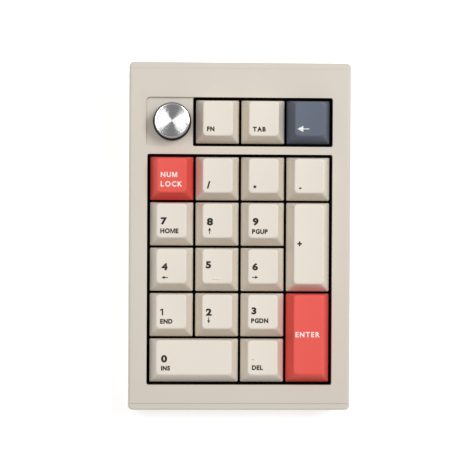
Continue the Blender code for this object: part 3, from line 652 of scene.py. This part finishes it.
def bright_steel(name, colour, roughness=0.24):
    """Drawn or rolled steel with lengthwise scratches."""
    finish = Finish(name, metallic=1.0)
    scratches = finish.noise(0.3 * MM, 4.0, finish.stretched(0.12, 1.0, 1.0))
    tarnish = finish.noise(3 * MM, 3.0).between(0.35, 0.7)
    base = finish.mixed(tarnish, colour, scaled(colour, 0.82))
    finish.feed("Base Color", finish.mixed(scratches * 0.3, base, scaled(colour, 1.2)))
    finish.feed("Roughness", roughness + 0.14 * scratches)
    finish.bump(scratches, 0.003 * MM)
    return finish.material


def solder_mask(name, colour):
    """Circuit board: solder mask over copper tracks, with tinned pads."""
    finish = Finish(name)
    sockets = {"Vector": finish.place, "Scale": 1 / (9 * MM), "Mortar Size": 0.03}
    tracks = finish.node("ShaderNodeTexBrick", sockets=sockets, output="Fac")
    pads = 1 - finish.cells(2.4 * MM).between(0.12, 0.16)
    base = finish.mixed(tracks, colour, scaled(colour, 2.4))
    finish.feed("Base Color", finish.mixed(pads, base, (0.55, 0.54, 0.5)))
    finish.feed("Metallic", pads)
    finish.feed("Roughness", 0.35 + 0.1 * finish.noise(2 * MM))
    finish.bump(tracks + pads, 0.02 * MM)
    return finish.material


def foam(name, colour):
    """Open-cell foam, with painted shade darkening its pores."""
    finish = Finish(name, specular_ior_level=0.2)
    cells = finish.cells(0.6 * MM)
    # dark pores: painted shade in the hollows of the cells
    painted_pore_shade = 1 - cells.between(0.1, 0.5)
    finish.feed("Base Color", finish.mixed(painted_pore_shade, scaled(colour, 1.3), scaled(colour, 0.35)))
    finish.feed("Roughness", 0.9 + 0.08 * cells)
    finish.bump(cells, 0.15 * MM)
    return finish.material


def pouch_foil(name, colour):
    """Laminated foil with soft creases."""
    finish = Finish(name, metallic=0.8)
    return finish.surface(finish.noise(3.5 * MM, 4.0), colour, (0.8, 1.25), (0.3, 0.2), 0.25 * MM)


def rubber(name, colour):
    """Moulded rubber with dust caught in its grain."""
    finish = Finish(name, specular_ior_level=0.3)
    grain = finish.noise(0.18 * MM, 3.0)
    dust = finish.noise(1.6 * MM, 4.0).between(0.5, 0.8)
    finish.feed("Base Color", finish.mixed(dust * 0.4, colour, scaled(colour, 3.0)))
    finish.feed("Roughness", 0.78 + 0.15 * grain)
    finish.bump(grain, 0.02 * MM)
    return finish.material


def gold_plate(name, colour):
    """Gold plating, wiped along the contacts."""
    finish = Finish(name, metallic=1.0)
    wipe = finish.noise(0.15 * MM, 3.0, finish.stretched(1.0, 0.15, 1.0))
    return finish.surface(wipe, colour, (0.85, 1.1), (0.22, 0.15), 0.002 * MM)


# ---------------- keycaps


class CapForm:
    """The shape of one keycap, around its middle and over its skirt."""

    def __init__(self, name, dish):
        self.row, self.colour = KEYS[name]
        self.height, lean, self.front, self.rear = CAP_ROWS[self.row]
        low, high = deck_box(f"key_{name}")
        self.centre = Vector(((low.x + high.x) / 2, (low.y + high.y) / 2, low.z))
        self.half_x = (high.x - low.x) / 2
        self.half_y = (high.y - low.y) / 2
        self.tall = self.half_y > PITCH / 2
        self.wide = self.half_x > PITCH / 2
        self.tilt = math.tan(math.radians(lean)) / (2 if self.tall else 1)
        self.dish = dish
        self.top_half_x = self.half_x - SIDE_SLOPE
        self.top_front = -self.half_y + self.front

    def hollow(self, x):
        return self.dish * (1 - min(abs(x) / self.top_half_x, 1) ** 2)

    def top(self, x, y):
        """Level of the dished, leaning top face."""
        return self.height + y * self.tilt - self.hollow(x)

    def ring(self, share, inset, corner):
        """The outline this share of the way up the sides."""
        slope_x = SIDE_SLOPE * share + inset
        x = (-self.half_x + slope_x, self.half_x - slope_x)
        y = (
            -self.half_y + self.front * share + inset,
            self.half_y - self.rear * share - inset,
        )
        points = []
        for point in rounded_outline(x, y, corner):
            level = share * (self.height + point.y * self.tilt)
            level -= self.hollow(point.x) * share**6
            points.append(Vector((point.x, point.y, level)))
        return points


def draw_cap_shell(mesh, form, edge):
    wall_steps = 6
    edge_steps = 6
    roof_share = 1 - CAP_ROOF / form.height
    lip = 0.2 * MM
    lip_share = lip / form.height
    edge_share = 1 - edge / form.height
    inner_corner = 0.4 * MM
    rings = [
        form.ring(roof_share, CAP_WALL + lip, inner_corner),
        form.ring(roof_share * 0.97, CAP_WALL, inner_corner),
        form.ring(lip_share, CAP_WALL, inner_corner),
        form.ring(0, CAP_WALL - lip, SKIRT_CORNER),
        form.ring(0, lip, SKIRT_CORNER),
    ]
    for step in range(wall_steps + 1):
        share = lip_share + (edge_share - lip_share) * step / wall_steps
        corner = SKIRT_CORNER + (TOP_CORNER - SKIRT_CORNER) * share
        rings.append(form.ring(share, 0, corner))
    start = rings[-1]
    crest = form.ring(1, 0, TOP_CORNER)
    shelf = form.ring(1, edge, TOP_CORNER - edge)
    for step in range(1, edge_steps + 1):
        t = step / edge_steps
        rings.append(
            [
                (1 - t) ** 2 * a + 2 * t * (1 - t) * b + t**2 * c
                for a, b, c in zip(start, crest, shelf)
            ]
        )
    middle = min(form.top_half_x, form.half_y - (form.front + form.rear) / 2)
    for share in (0.12, 0.27, 0.44, 0.62, 0.8, 0.96):
        inset = edge + (middle - edge) * share
        rings.append(form.ring(1, inset, (TOP_CORNER - edge) * (1 - share)))
    loft(mesh, rings)


def cross_ring(z):
    """The outline of a stem's cross, in its twelve corners, anticlockwise."""
    quarter = [(CROSS_REACH, -CROSS_ARM_Y), (CROSS_REACH, CROSS_ARM_Y)]
    quarter += [(CROSS_ARM_X, CROSS_ARM_Y), (CROSS_ARM_X, CROSS_REACH)]
    quarter += [(-CROSS_ARM_X, CROSS_REACH), (-CROSS_ARM_X, CROSS_ARM_Y)]
    corners = quarter + [(-x, -y) for x, y in quarter]
    return [Vector((x, y, z)) for x, y in corners]


def draw_boss(mesh, form):
    """The round boss under the cap, hollowed by the cross that takes the stem."""
    roof = form.height - CAP_ROOF / 2
    socket_top = BOSS_RISE + SOCKET_DEPTH
    turns = [math.atan2(point.y, point.x) for point in cross_ring(0)]

    outer = [polar(BOSS_RADIUS, turn) for turn in turns]
    rings = [cross_ring(socket_top), cross_ring(BOSS_RISE)]
    loft(mesh, rings + [level_ring(outer, BOSS_RISE), level_ring(outer, roof)])


def draw_stabiliser_posts(mesh, form):
    roof = form.height - CAP_ROOF / 2
    for end in (-STAB_SPREAD, STAB_SPREAD):
        x, y = (0, end) if form.tall else (end, 0)
        outline = rounded_outline(span(x, STAB_POST), span(y, STAB_POST), STAB_CORNER, 3, 1)
        prism(mesh, outline, (0, roof))


def draw_homing_bar(mesh, form):
    length, width, height = HOMING_BAR
    x = span(HOMING_PLACE[0], length)
    y = span(form.top_front + HOMING_PLACE[1], width)
    low = form.top(0, y[0]) - height
    rounded_block(mesh, x, y, (low, low + 2 * height), width / 2, width / 3)


class KEYPAD_OT_keycaps(bpy.types.Operator):
    """Make the twenty sculpted keycaps"""

    bl_idname = "keypad.keycaps"
    bl_label = "Keycaps"

    def execute(self, context):
        settings = context.scene.keypad_caps
        finishes = {
            colour: moulded_plastic(
                f"keycap_{colour}", getattr(settings, colour), 0.16 * MM, 0.008 * MM, 0.46
            )
            for colour in ("ivory", "red", "slate")
        }
        for name in KEYS:
            form = CapForm(name, settings.dish_depth)

            def draw(mesh, form=form, name=name):
                draw_cap_shell(mesh, form, settings.edge_radius)
                draw_boss(mesh, form)
                if form.tall or form.wide:
                    draw_stabiliser_posts(mesh, form)
                if name == "five":
                    draw_homing_bar(mesh, form)

            make_piece(
                f"cap_{name}",
                draw,
                finishes[form.colour],
                f"{name}_key",
                (f"key_{name}",),
                DECK @ Matrix.Translation(form.centre),
            )
        return {"FINISHED"}


# ---------------- marks


def arrow_outlines(length):
    """The shaft and the head of a slim arrow that points along +X from the origin."""
    half_head = length * ARROW_HEAD / 2
    half_shaft = ARROW_SHAFT / 2
    neck = length - half_head * ARROW_POINT
    shaft = [(0, -half_shaft), (neck, -half_shaft), (neck, half_shaft), (0, half_shaft)]
    head = [(neck, -half_head), (length, 0), (neck, half_head)]
    return [[Vector(point) for point in outline] for outline in (shaft, head)]


def star_outline():
    """A five-pointed star for the multiplication sign."""
    points = []
    for tip in range(10):
        radius = 1 if tip % 2 == 0 else 0.45
        points.append(polar(radius, math.pi / 2 + math.tau * tip / 10))
    return points


def capital_m():
    """The outline of a plain capital M, one unit high."""
    middle = M_WIDTH / 2
    stroke = M_STROKE
    left = [
        (middle - 0.55 * stroke, 0),
        (stroke, 1 - 2.2 * stroke),
        (stroke, 0),
        (0, 0),
        (0, 1),
        (1.5 * stroke, 1),
    ]
    right = [(M_WIDTH - x, y) for x, y in reversed(left)]
    return [Vector(point) for point in reversed(left + [(middle, 1.6 * stroke)] + right)]


def digit_one():
    """The outline of a figure 1 with a short flag, one unit high."""
    bar = ONE_FLAG
    edge = bar + ONE_STROKE
    points = [(bar, 0), (edge, 0), (edge, 1), (bar, 1), (0, 0.85), (0, 0.64), (bar, 0.79)]
    return [Vector(point) for point in points]


OWN_OUTLINES = {"M": capital_m, "*": star_outline, "1": digit_one}


def letter_mesh(letter, weight):
    """A flat letter, one unit high if it is a capital, as a new bmesh."""
    mesh = bmesh.new()
    if letter in OWN_OUTLINES:
        prism(mesh, OWN_OUTLINES[letter](), (-1, 1))
        return mesh
    curve = bpy.data.curves.new("lettering", "FONT")
    curve.body = "6" if letter == "9" else letter
    curve.offset = weight
    curve.resolution_u = 5
    curve.extrude = 1
    holder = add_object("lettering", curve)
    graph = bpy.context.evaluated_depsgraph_get()
    data = bpy.data.meshes.new_from_object(holder.evaluated_get(graph))
    bpy.data.objects.remove(holder)
    bpy.data.curves.remove(curve)
    mesh.from_mesh(data)
    bpy.data.meshes.remove(data)
    bmesh.ops.remove_doubles(mesh, verts=mesh.verts, dist=1e-5)
    size = 1 / (CAPITAL_SHARE + 2 * weight)
    width = size * (FIGURE_WIDTH if letter.isdigit() else LETTER_WIDTH)
    for vertex in mesh.verts:
        vertex.co.x *= width
        vertex.co.y = (vertex.co.y + weight) * size
        if letter == "9":
            vertex.co.xy = (-vertex.co.x, 1 - vertex.co.y)
    return mesh


def extent(mesh, axis):
    values = [vertex.co[axis] for vertex in mesh.verts]
    return min(values), max(values)


def absorb(mesh, other):
    """Add another bmesh to this one and free it."""
    data = bpy.data.meshes.new("absorbed")
    other.to_mesh(data)
    other.free()
    mesh.from_mesh(data)
    bpy.data.meshes.remove(data)


def add_letters(mesh, text, height, corner, weight, gap):
    """A word of one height with its lower left corner at a given place. A sign that isn't
    a letter or number is as high as asked, however small it is in the font."""
    start = corner[0]
    for letter in text:
        shape = letter_mesh(letter, weight)
        x = extent(shape, 0)
        y = (0, 1) if letter.isalnum() else extent(shape, 1)
        size = height / (y[1] - y[0])
        for vertex in shape.verts:
            vertex.co.x = start + (vertex.co.x - x[0]) * size
            vertex.co.y = corner[1] + (vertex.co.y - y[0]) * size
        start += (x[1] - x[0]) * size + gap
        absorb(mesh, shape)


def add_arrow(mesh, direction, length, corner):
    """An arrow whose tail or tip starts at a given place."""
    turn = Matrix.Rotation(math.radians(ARROW_TURNS[direction]), 2)
    start = Vector(corner)
    if direction == "left":
        start.x += length
    if direction == "down":
        start.y += length
    for outline in arrow_outlines(length):
        prism(mesh, [start + turn @ point for point in outline], (-1, 1))


def drape(mesh, form, thickness):
    """Cut the marks into narrow strips and lay them on the dished top."""
    bmesh.ops.triangulate(mesh, faces=mesh.faces)
    low, high = extent(mesh, 0)
    cut = low + DRAPE_STEP
    while cut < high:
        geometry = mesh.verts[:] + mesh.edges[:] + mesh.faces[:]
        bmesh.ops.bisect_plane(mesh, geom=geometry, plane_co=(cut, 0, 0), plane_no=(1, 0, 0))
        cut += DRAPE_STEP
    for vertex in mesh.verts:
        vertex.co.z = form.top(vertex.co.x, vertex.co.y) + thickness * vertex.co.z


class KEYPAD_OT_marks(bpy.types.Operator):
    """Print the numbers, words and arrows on the keycaps"""

    bl_idname = "keypad.marks"
    bl_label = "Marks"

    def execute(self, context):
        scene = context.scene
        settings = scene.keypad_marks
        inks = {
            "ivory": printed_ink("dark_ink", settings.dark),
            "red": printed_ink("light_ink", settings.light),
        }
        inks["slate"] = inks["red"]
        for name, marks in MARKS.items():
            form = CapForm(name, scene.keypad_caps.dish_depth)

            def draw(mesh, form=form, marks=marks):
                for mark, size, margin, rise in marks:
                    corner = (-form.top_half_x + margin * MM, form.top_front + rise * MM)
                    if mark in ARROW_TURNS:
                        add_arrow(mesh, mark, size * MM, corner)
                    else:
                        gap = LETTER_GAP[form.colour]
                        weight = settings.weight * LETTER_WEIGHT[form.colour]
                        add_letters(mesh, mark, size * MM, corner, weight, gap)
                drape(mesh, form, settings.thickness)

            make_piece(
                f"marks_{name}",
                draw,
                inks[form.colour],
                f"{name}_key",
                place=DECK @ Matrix.Translation(form.centre),
            )
        return {"FINISHED"}


# ---------------- knob


class KEYPAD_OT_knob(bpy.types.Operator):
    """Make the knob: a dark body with a bright turned cap, and finish the encoder it drives"""

    bl_idname = "keypad.knob"
    bl_label = "Knob"

    def execute(self, context):
        settings = context.scene.keypad_knob
        inside = context.scene.keypad_inside
        low, high = deck_box("knob")
        centre = ((low.x + high.x) / 2, (low.y + high.y) / 2)
        shaft = deck_box("encoder_shaft")
        base = (high.x - low.x) / 2
        waist = base - KNOB_WAIST_INSET
        rim = base - KNOB_RIM_INSET
        bore = (shaft[1].x - shaft[0].x) / 2 + PART_SEAM
        bore_top = shaft[1].z + PART_SEAM
        cap_low = high.z - settings.cap_height
        chamfer = settings.rim_chamfer
        disc = rim - chamfer - KNOB_LAP
        recessed = high.z - FACE_RECESS

        def body(mesh):
            groove_depth, groove_height = KNOB_GROOVE
            cap_seat = waist - groove_depth
            corner = 0.3 * KNOB_FOOT_ROUNDING
            profile = [
                (bore, bore_top),
                (bore, low.z + KNOB_NECK),
                (base - KNOB_WALL, low.z + KNOB_NECK),
                (base - KNOB_WALL, low.z),
                (base - KNOB_FOOT_ROUNDING, low.z),
                (base - corner, low.z + corner),
                (base, low.z + KNOB_FOOT_ROUNDING),
                (base, low.z + KNOB_FOOT),
                (base - 0.1 * MM, low.z + KNOB_FOOT + 0.2 * MM),
                (waist + 0.15 * MM, low.z + KNOB_NECK - 0.25 * MM),
                (waist, low.z + KNOB_NECK),
                (waist, cap_low - groove_height),
                (cap_seat, cap_low - groove_height + 0.1 * MM),
                (cap_seat, cap_low),
            ]
            lathe(mesh, profile, TURNED_SIDES, centre)

        def rim_ring(mesh):
            profile = [
                (waist - KNOB_GROOVE[0], cap_low),
                (rim - RIM_ROUNDING, cap_low),
                (rim, cap_low + RIM_ROUNDING),
                (rim, high.z - chamfer / 2),
                (rim - chamfer, high.z),
                (disc + FACE_RECESS, high.z),
                (disc + FACE_RECESS / 2, recessed),
                (disc - RIM_UNDERLAP, recessed),
            ]
            lathe(mesh, profile, TURNED_SIDES, centre)

        def face(mesh):
            depth = settings.groove_pitch / 2 * math.tan(settings.groove_slope)
            profile = [(disc, recessed - FACE_BED)]
            for ridge in range(int(disc / settings.groove_pitch)):
                for share, rise in ((0.0, 1.0), (0.25, 1.5), (0.5, 2.0), (0.75, 1.5)):
                    at = disc - (ridge + share) * settings.groove_pitch
                    if at > FACE_CENTRE:
                        profile.append((at, recessed + rise * depth))
            lathe(mesh, profile, TURNED_SIDES, centre)

        pieces = (
            ("knob_body", body, anodised("black_anodised", settings.body), "dark_plastic"),
            ("knob_rim", rim_ring, turned_metal("cut_aluminium", settings.rim), "knob_metal"),
            ("knob_face", face, turned_metal("turned_aluminium", settings.metal), "knob_metal"),
        )
        for name, draw, finish, slot in pieces:
            piece = make_piece(name, draw, finish, "knob", ("knob",))
        piece.modifiers.clear()  # the face keeps its grooves as they are drawn
        steel = bright_steel("shaft_steel", inside.steel)
        dark = moulded_plastic("encoder_plastic", inside.dark, 0.2 * MM, 0.01 * MM)
        dress("encoder_shaft", steel)
        dress("encoder_rotor", dark)
        dress("encoder_body", dark)
        return {"FINISHED"}


# ---------------- case


class KEYPAD_OT_case(bpy.types.Operator):
    """Finish the upper and lower shells in warm grey plastic with softened edges"""

    bl_idname = "keypad.case"
    bl_label = "Case"

    def execute(self, context):
        settings = context.scene.keypad_case
        plastic = moulded_plastic("case_plastic", settings.plastic)
        for node in ("top_case", "bottom_case"):
            dress(node, plastic, settings.edge_radius, settings.edge_steps)
        low, high = deck_box("top_case")
        seams = {
            "seam_tongue_front": ((low.y - PART_SEAM, low.y), FRONT_SEAM_DEPTH),
            "seam_tongue_rear": ((high.y, high.y + PART_SEAM), REAR_SEAM_DEPTH),
        }
        for name, (y, depth) in seams.items():

            def tongue(mesh, y=y, depth=depth):
                x = (low.x + SEAM_END_DEPTH, high.x - SEAM_END_DEPTH)
                y = (y[0] - TONGUE_BITE, y[1] + TONGUE_BITE)
                z = (high.z - depth - TONGUE_HEIGHT, high.z - depth)
                rounded_block(mesh, x, y, z, TONGUE_BITE, TONGUE_BITE / 2)

            make_piece(name, tongue, plastic, "case")
        return {"FINISHED"}


def screw_places():
    """The screws' axes on the deck, from the shells' own walls and seams."""
    low, high = deck_box("bottom_case")
    frame_low, frame_high = deck_box("top_case")
    reach = CASE_WALL + PART_SEAM + SCREW_BOSS_RADIUS
    x = (low.x + reach, high.x - reach)
    y = (frame_low.y + reach, frame_high.y - reach)
    return [(at_x, at_y) for at_y in y for at_x in x]


def cross_outline(z, size):
    """The cross recess of a screw at one level, at a share of its full size."""
    points = []
    for side in range(SCREW_SIDES):
        turn = math.tau * side / SCREW_SIDES
        off_arm = abs((turn + math.pi / 4) % (math.pi / 2) - math.pi / 4)
        flank = CROSS_HALF_WIDTH / max(math.sin(off_arm), CROSS_HALF_WIDTH / CROSS_LENGTH)
        reach = min(CROSS_LENGTH / math.cos(off_arm), max(flank, 1.5 * CROSS_HALF_WIDTH))
        points.append(polar(reach * size, turn))
    return level_ring(points, z)


def draw_screw(mesh):
    """A pan-head screw, head down, with a cross recess in its head."""
    shank, length = SCREW_SHANK
    seat = SCREW_HEAD_DEPTH - SCREW_SEAT_GAP
    rings = [
        cross_outline(SCREW_SUNK + CROSS_DEPTH, CROSS_TAPER),
        cross_outline(SCREW_SUNK, 1),
    ]
    for inset, rise in SCREW_ROUNDING:
        level = SCREW_SUNK + rise * MM
        rings.append(circle(SCREW_HEAD_RADIUS - inset * MM, level, SCREW_SIDES))
    for radius, level in ((SCREW_HEAD_RADIUS, seat), (shank, seat), (shank, seat + length)):
        rings.append(circle(radius, level, SCREW_SIDES))
    loft(mesh, rings)


def draw_foot(mesh, radius, height):
    """A rubber foot: rounded lower edge and a shallow ring in its sole."""
    profile = [(SOLE_CENTRE, SOLE_DEPTH)]
    profile += [(radius * share, SOLE_DEPTH * depth) for share, depth in SOLE_RING]
    for step in range(FOOT_STEPS + 1):
        angle = math.pi / 2 * step / FOOT_STEPS
        at = radius - FOOT_ROUNDING + FOOT_ROUNDING * math.sin(angle)
        profile.append((at, FOOT_ROUNDING - FOOT_ROUNDING * math.cos(angle)))
    profile += [(radius, height - FOOT_TOP_CUT), (radius - FOOT_TOP_CUT, height)]
    lathe(mesh, profile, FOOT_SIDES)


class KEYPAD_OT_fittings(bpy.types.Operator):
    """Make the four screws and the four rubber feet under the case"""

    bl_idname = "keypad.fittings"
    bl_label = "Screws and feet"

    def execute(self, context):
        settings = context.scene.keypad_case
        blackened = bright_steel("blackened_steel", settings.screw, 0.38)
        for number, (x, y) in enumerate(screw_places(), 1):
            make_piece(
                f"case_screw_{number}",
                draw_screw,
                blackened,
                "case",
                place=Matrix.Translation(underside(x, y)),
            )
        black_rubber = rubber("foot_rubber", settings.rubber)
        for node in sorted(name for name in frame["nodes"] if name.startswith("foot_")):
            low, high = (Vector(corner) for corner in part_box(node))
            centre = (low + high) / 2
            make_piece(
                f"rubber_{node}",
                lambda mesh: draw_foot(mesh, (high.x - low.x) / 2, high.z - low.z),
                black_rubber,
                "case",
                (node,),
                Matrix.Translation((centre.x, centre.y, low.z)),
            )
        return {"FINISHED"}


# ---------------- inside and rear edge


class KEYPAD_OT_switches(bpy.types.Operator):
    """Finish the switch plate, the stems and the stabiliser wires"""

    bl_idname = "keypad.switches"
    bl_label = "Switches"

    def execute(self, context):
        settings = context.scene.keypad_inside
        dress("switch_plate", powder_coat("plate_coat", settings.plate))
        stem = moulded_plastic("stem_plastic", settings.stem, 0.3 * MM, 0.004 * MM, 0.3)
        wire = bright_steel("wire_steel", settings.steel)
        for node in frame["nodes"]:
            if node.startswith("stem_"):
                dress(node, stem)
            if node.startswith("wire_"):
                dress(node, wire)
        return {"FINISHED"}


class KEYPAD_OT_electronics(bpy.types.Operator):
    """Finish the board, pad and battery, and make the rear socket's and switch's details"""

    bl_idname = "keypad.electronics"
    bl_label = "Electronics"

    def execute(self, context):
        settings = context.scene.keypad_inside
        dress("circuit_board", solder_mask("board_mask", settings.board))
        dress("damping_pad", foam("pad_foam", settings.foam))
        dress("battery", pouch_foil("battery_foil", settings.foil))
        steel = bright_steel("socket_steel", settings.steel, 0.2)
        dress("usb_socket", steel, SOCKET_ROUNDING)
        dark = moulded_plastic("switch_plastic", settings.dark, 0.2 * MM, 0.01 * MM)
        dress("power_switch", dark, SWITCH_ROUNDING)

        socket_low, socket_high = deck_box("usb_socket")
        middle = (socket_low.z + socket_high.z) / 2
        front = socket_high.y - SOCKET_MOUTH_GAP

        def contacts(mesh):
            y = [front - distance for distance in CONTACT_SPAN]
            for number in range(CONTACTS):
                at = (number - (CONTACTS - 1) / 2) * CONTACT_PITCH
                x = span(at, CONTACT_PITCH * CONTACT_SHARE)
                for side in (-1, 1):
                    z = sorted(middle + side * level for level in CONTACT_LEVELS)
                    prism(mesh, rounded_outline(x, y, CONTACT_CORNER, 3, 1), z)

        gold = gold_plate("contact_gold", settings.gold)
        make_piece("socket_contacts", contacts, gold, "case")

        low, high = deck_box("power_slider")

        def slider(mesh):
            rib = (high.x - low.x) / (2 * SLIDER_RIBS + 1)
            seat = high.y - RIB_HEIGHT
            turned = bmesh.new()
            x, z = (low.x, high.x), (low.z, high.z)
            rounded_block(turned, x, z, (low.y, seat), BUTTON_CORNER, BUTTON_ROUNDING)
            for number in range(SLIDER_RIBS):
                start = low.x + (2 * number + 1) * rib
                rounded_block(
                    turned,
                    (start, start + rib),
                    (low.z + RIB_MARGIN, high.z - RIB_MARGIN),
                    (seat - RIB_MARGIN, high.y),
                    RIB_CORNER,
                    RIB_ROUNDING,
                )
            for vertex in turned.verts:
                vertex.co = (vertex.co.x, vertex.co.z, vertex.co.y)
            absorb(mesh, turned)

        make_piece(
            "slider_button", slider, dark, "power_slider", ("power_slider",)
        )
        return {"FINISHED"}


# ---------------- stage


def add_softbox(name, place, size, power):
    """A large soft light that faces the middle of the deck, its width across the deck."""
    light = bpy.data.lights.new(name, "AREA")
    light.shape = "RECTANGLE"
    light.size, light.size_y = size
    light.energy = power
    obj = add_object(name, light)
    back = Vector(place).normalized()
    across = (Vector((1, 0, 0)) - back * back.x).normalized()
    facing = Matrix((across, back.cross(across), back)).transposed().to_4x4()
    obj.matrix_world = DECK @ Matrix.Translation(place) @ facing


class KEYPAD_OT_stage(bpy.types.Operator):
    """Set up the pale floor, the soft light and the camera"""

    bl_idname = "keypad.stage"
    bl_label = "Stage"

    def execute(self, context):
        scene = context.scene
        settings = scene.keypad_stage
        half = settings.floor_size / 2
        data = bpy.data.meshes.new("floor")
        z = -FLOOR_DROP
        corners = [(-half, -half, z), (half, -half, z), (half, half, z), (-half, half, z)]
        data.from_pydata(corners, [], [(0, 1, 2, 3)])
        paper = Finish("floor_paper", emission_strength=settings.floor_glow)
        fibre = paper.noise(1.5 * MM, 3.0)
        pale = settings.floor
        paper.feed("Base Color", paper.mixed(fibre, scaled(pale, 0.99), scaled(pale, 1.01)))
        paper.feed("Roughness", 0.85 + 0.05 * fibre)
        paper.feed("Emission Color", (1, 1, 1, 1))
        data.materials.append(paper.material)
        floor = add_object("floor", data)

        world = bpy.data.worlds.new("even_light")
        world.use_nodes = True
        background = world.node_tree.nodes["Background"]
        background.inputs["Color"].default_value = (1, 1, 1, 1)
        background.inputs["Strength"].default_value = settings.sky
        scene.world = world
        add_softbox("left_softbox", *LEFT_BOX, settings.left_box)
        add_softbox("right_softbox", *RIGHT_BOX, settings.right_box)

        camera = bpy.data.cameras.new("camera")
        camera.sensor_width = 36
        camera.lens = settings.lens
        camera.clip_start = 0.01
        camera.clip_end = 50
        holder = add_object("camera", camera)
        rotation = settings.camera_turn.to_matrix().to_4x4()
        holder.matrix_world = DECK @ Matrix.Translation(settings.camera_place) @ rotation
        scene.camera = holder
        scene.view_settings.view_transform = "Standard"
        return {"FINISHED"}


# ---------------- add-on

OPERATORS = (
    KEYPAD_OT_stage,
    KEYPAD_OT_case,
    KEYPAD_OT_keycaps,
    KEYPAD_OT_marks,
    KEYPAD_OT_knob,
    KEYPAD_OT_switches,
    KEYPAD_OT_electronics,
    KEYPAD_OT_fittings,
)
SETTINGS = {
    "keypad_caps": CapSettings,
    "keypad_marks": MarkSettings,
    "keypad_knob": KnobSettings,
    "keypad_case": CaseSettings,
    "keypad_inside": InsideSettings,
    "keypad_stage": StageSettings,
}


class KEYPAD_PT_panel(bpy.types.Panel):
    """Everything that the keypad is made with"""

    bl_label = "Numeric keypad"
    bl_idname = "KEYPAD_PT_panel"
    bl_space_type = "VIEW_3D"
    bl_region_type = "UI"
    bl_category = "Keypad"

    def draw(self, context):
        for operator in OPERATORS:
            self.layout.operator(operator.bl_idname)
        for name, group in SETTINGS.items():
            box = self.layout.box()
            box.label(text=group.__doc__)
            for setting in group.__annotations__:
                box.prop(getattr(context.scene, name), setting)


CLASSES = (*SETTINGS.values(), *OPERATORS, KEYPAD_PT_panel)


def register():
    for made in CLASSES:
        bpy.utils.register_class(made)
    for name, group in SETTINGS.items():
        setattr(bpy.types.Scene, name, PointerProperty(type=group))


def unregister():
    for name in SETTINGS:
        delattr(bpy.types.Scene, name)
    for made in reversed(CLASSES):
        bpy.utils.unregister_class(made)


def main():
    register()
    bpy.ops.keypad.stage()
    bpy.ops.keypad.case()
    bpy.ops.keypad.keycaps()
    bpy.ops.keypad.marks()
    bpy.ops.keypad.knob()
    bpy.ops.keypad.switches()
    bpy.ops.keypad.electronics()
    bpy.ops.keypad.fittings()


if __name__ == "__main__":
    main()
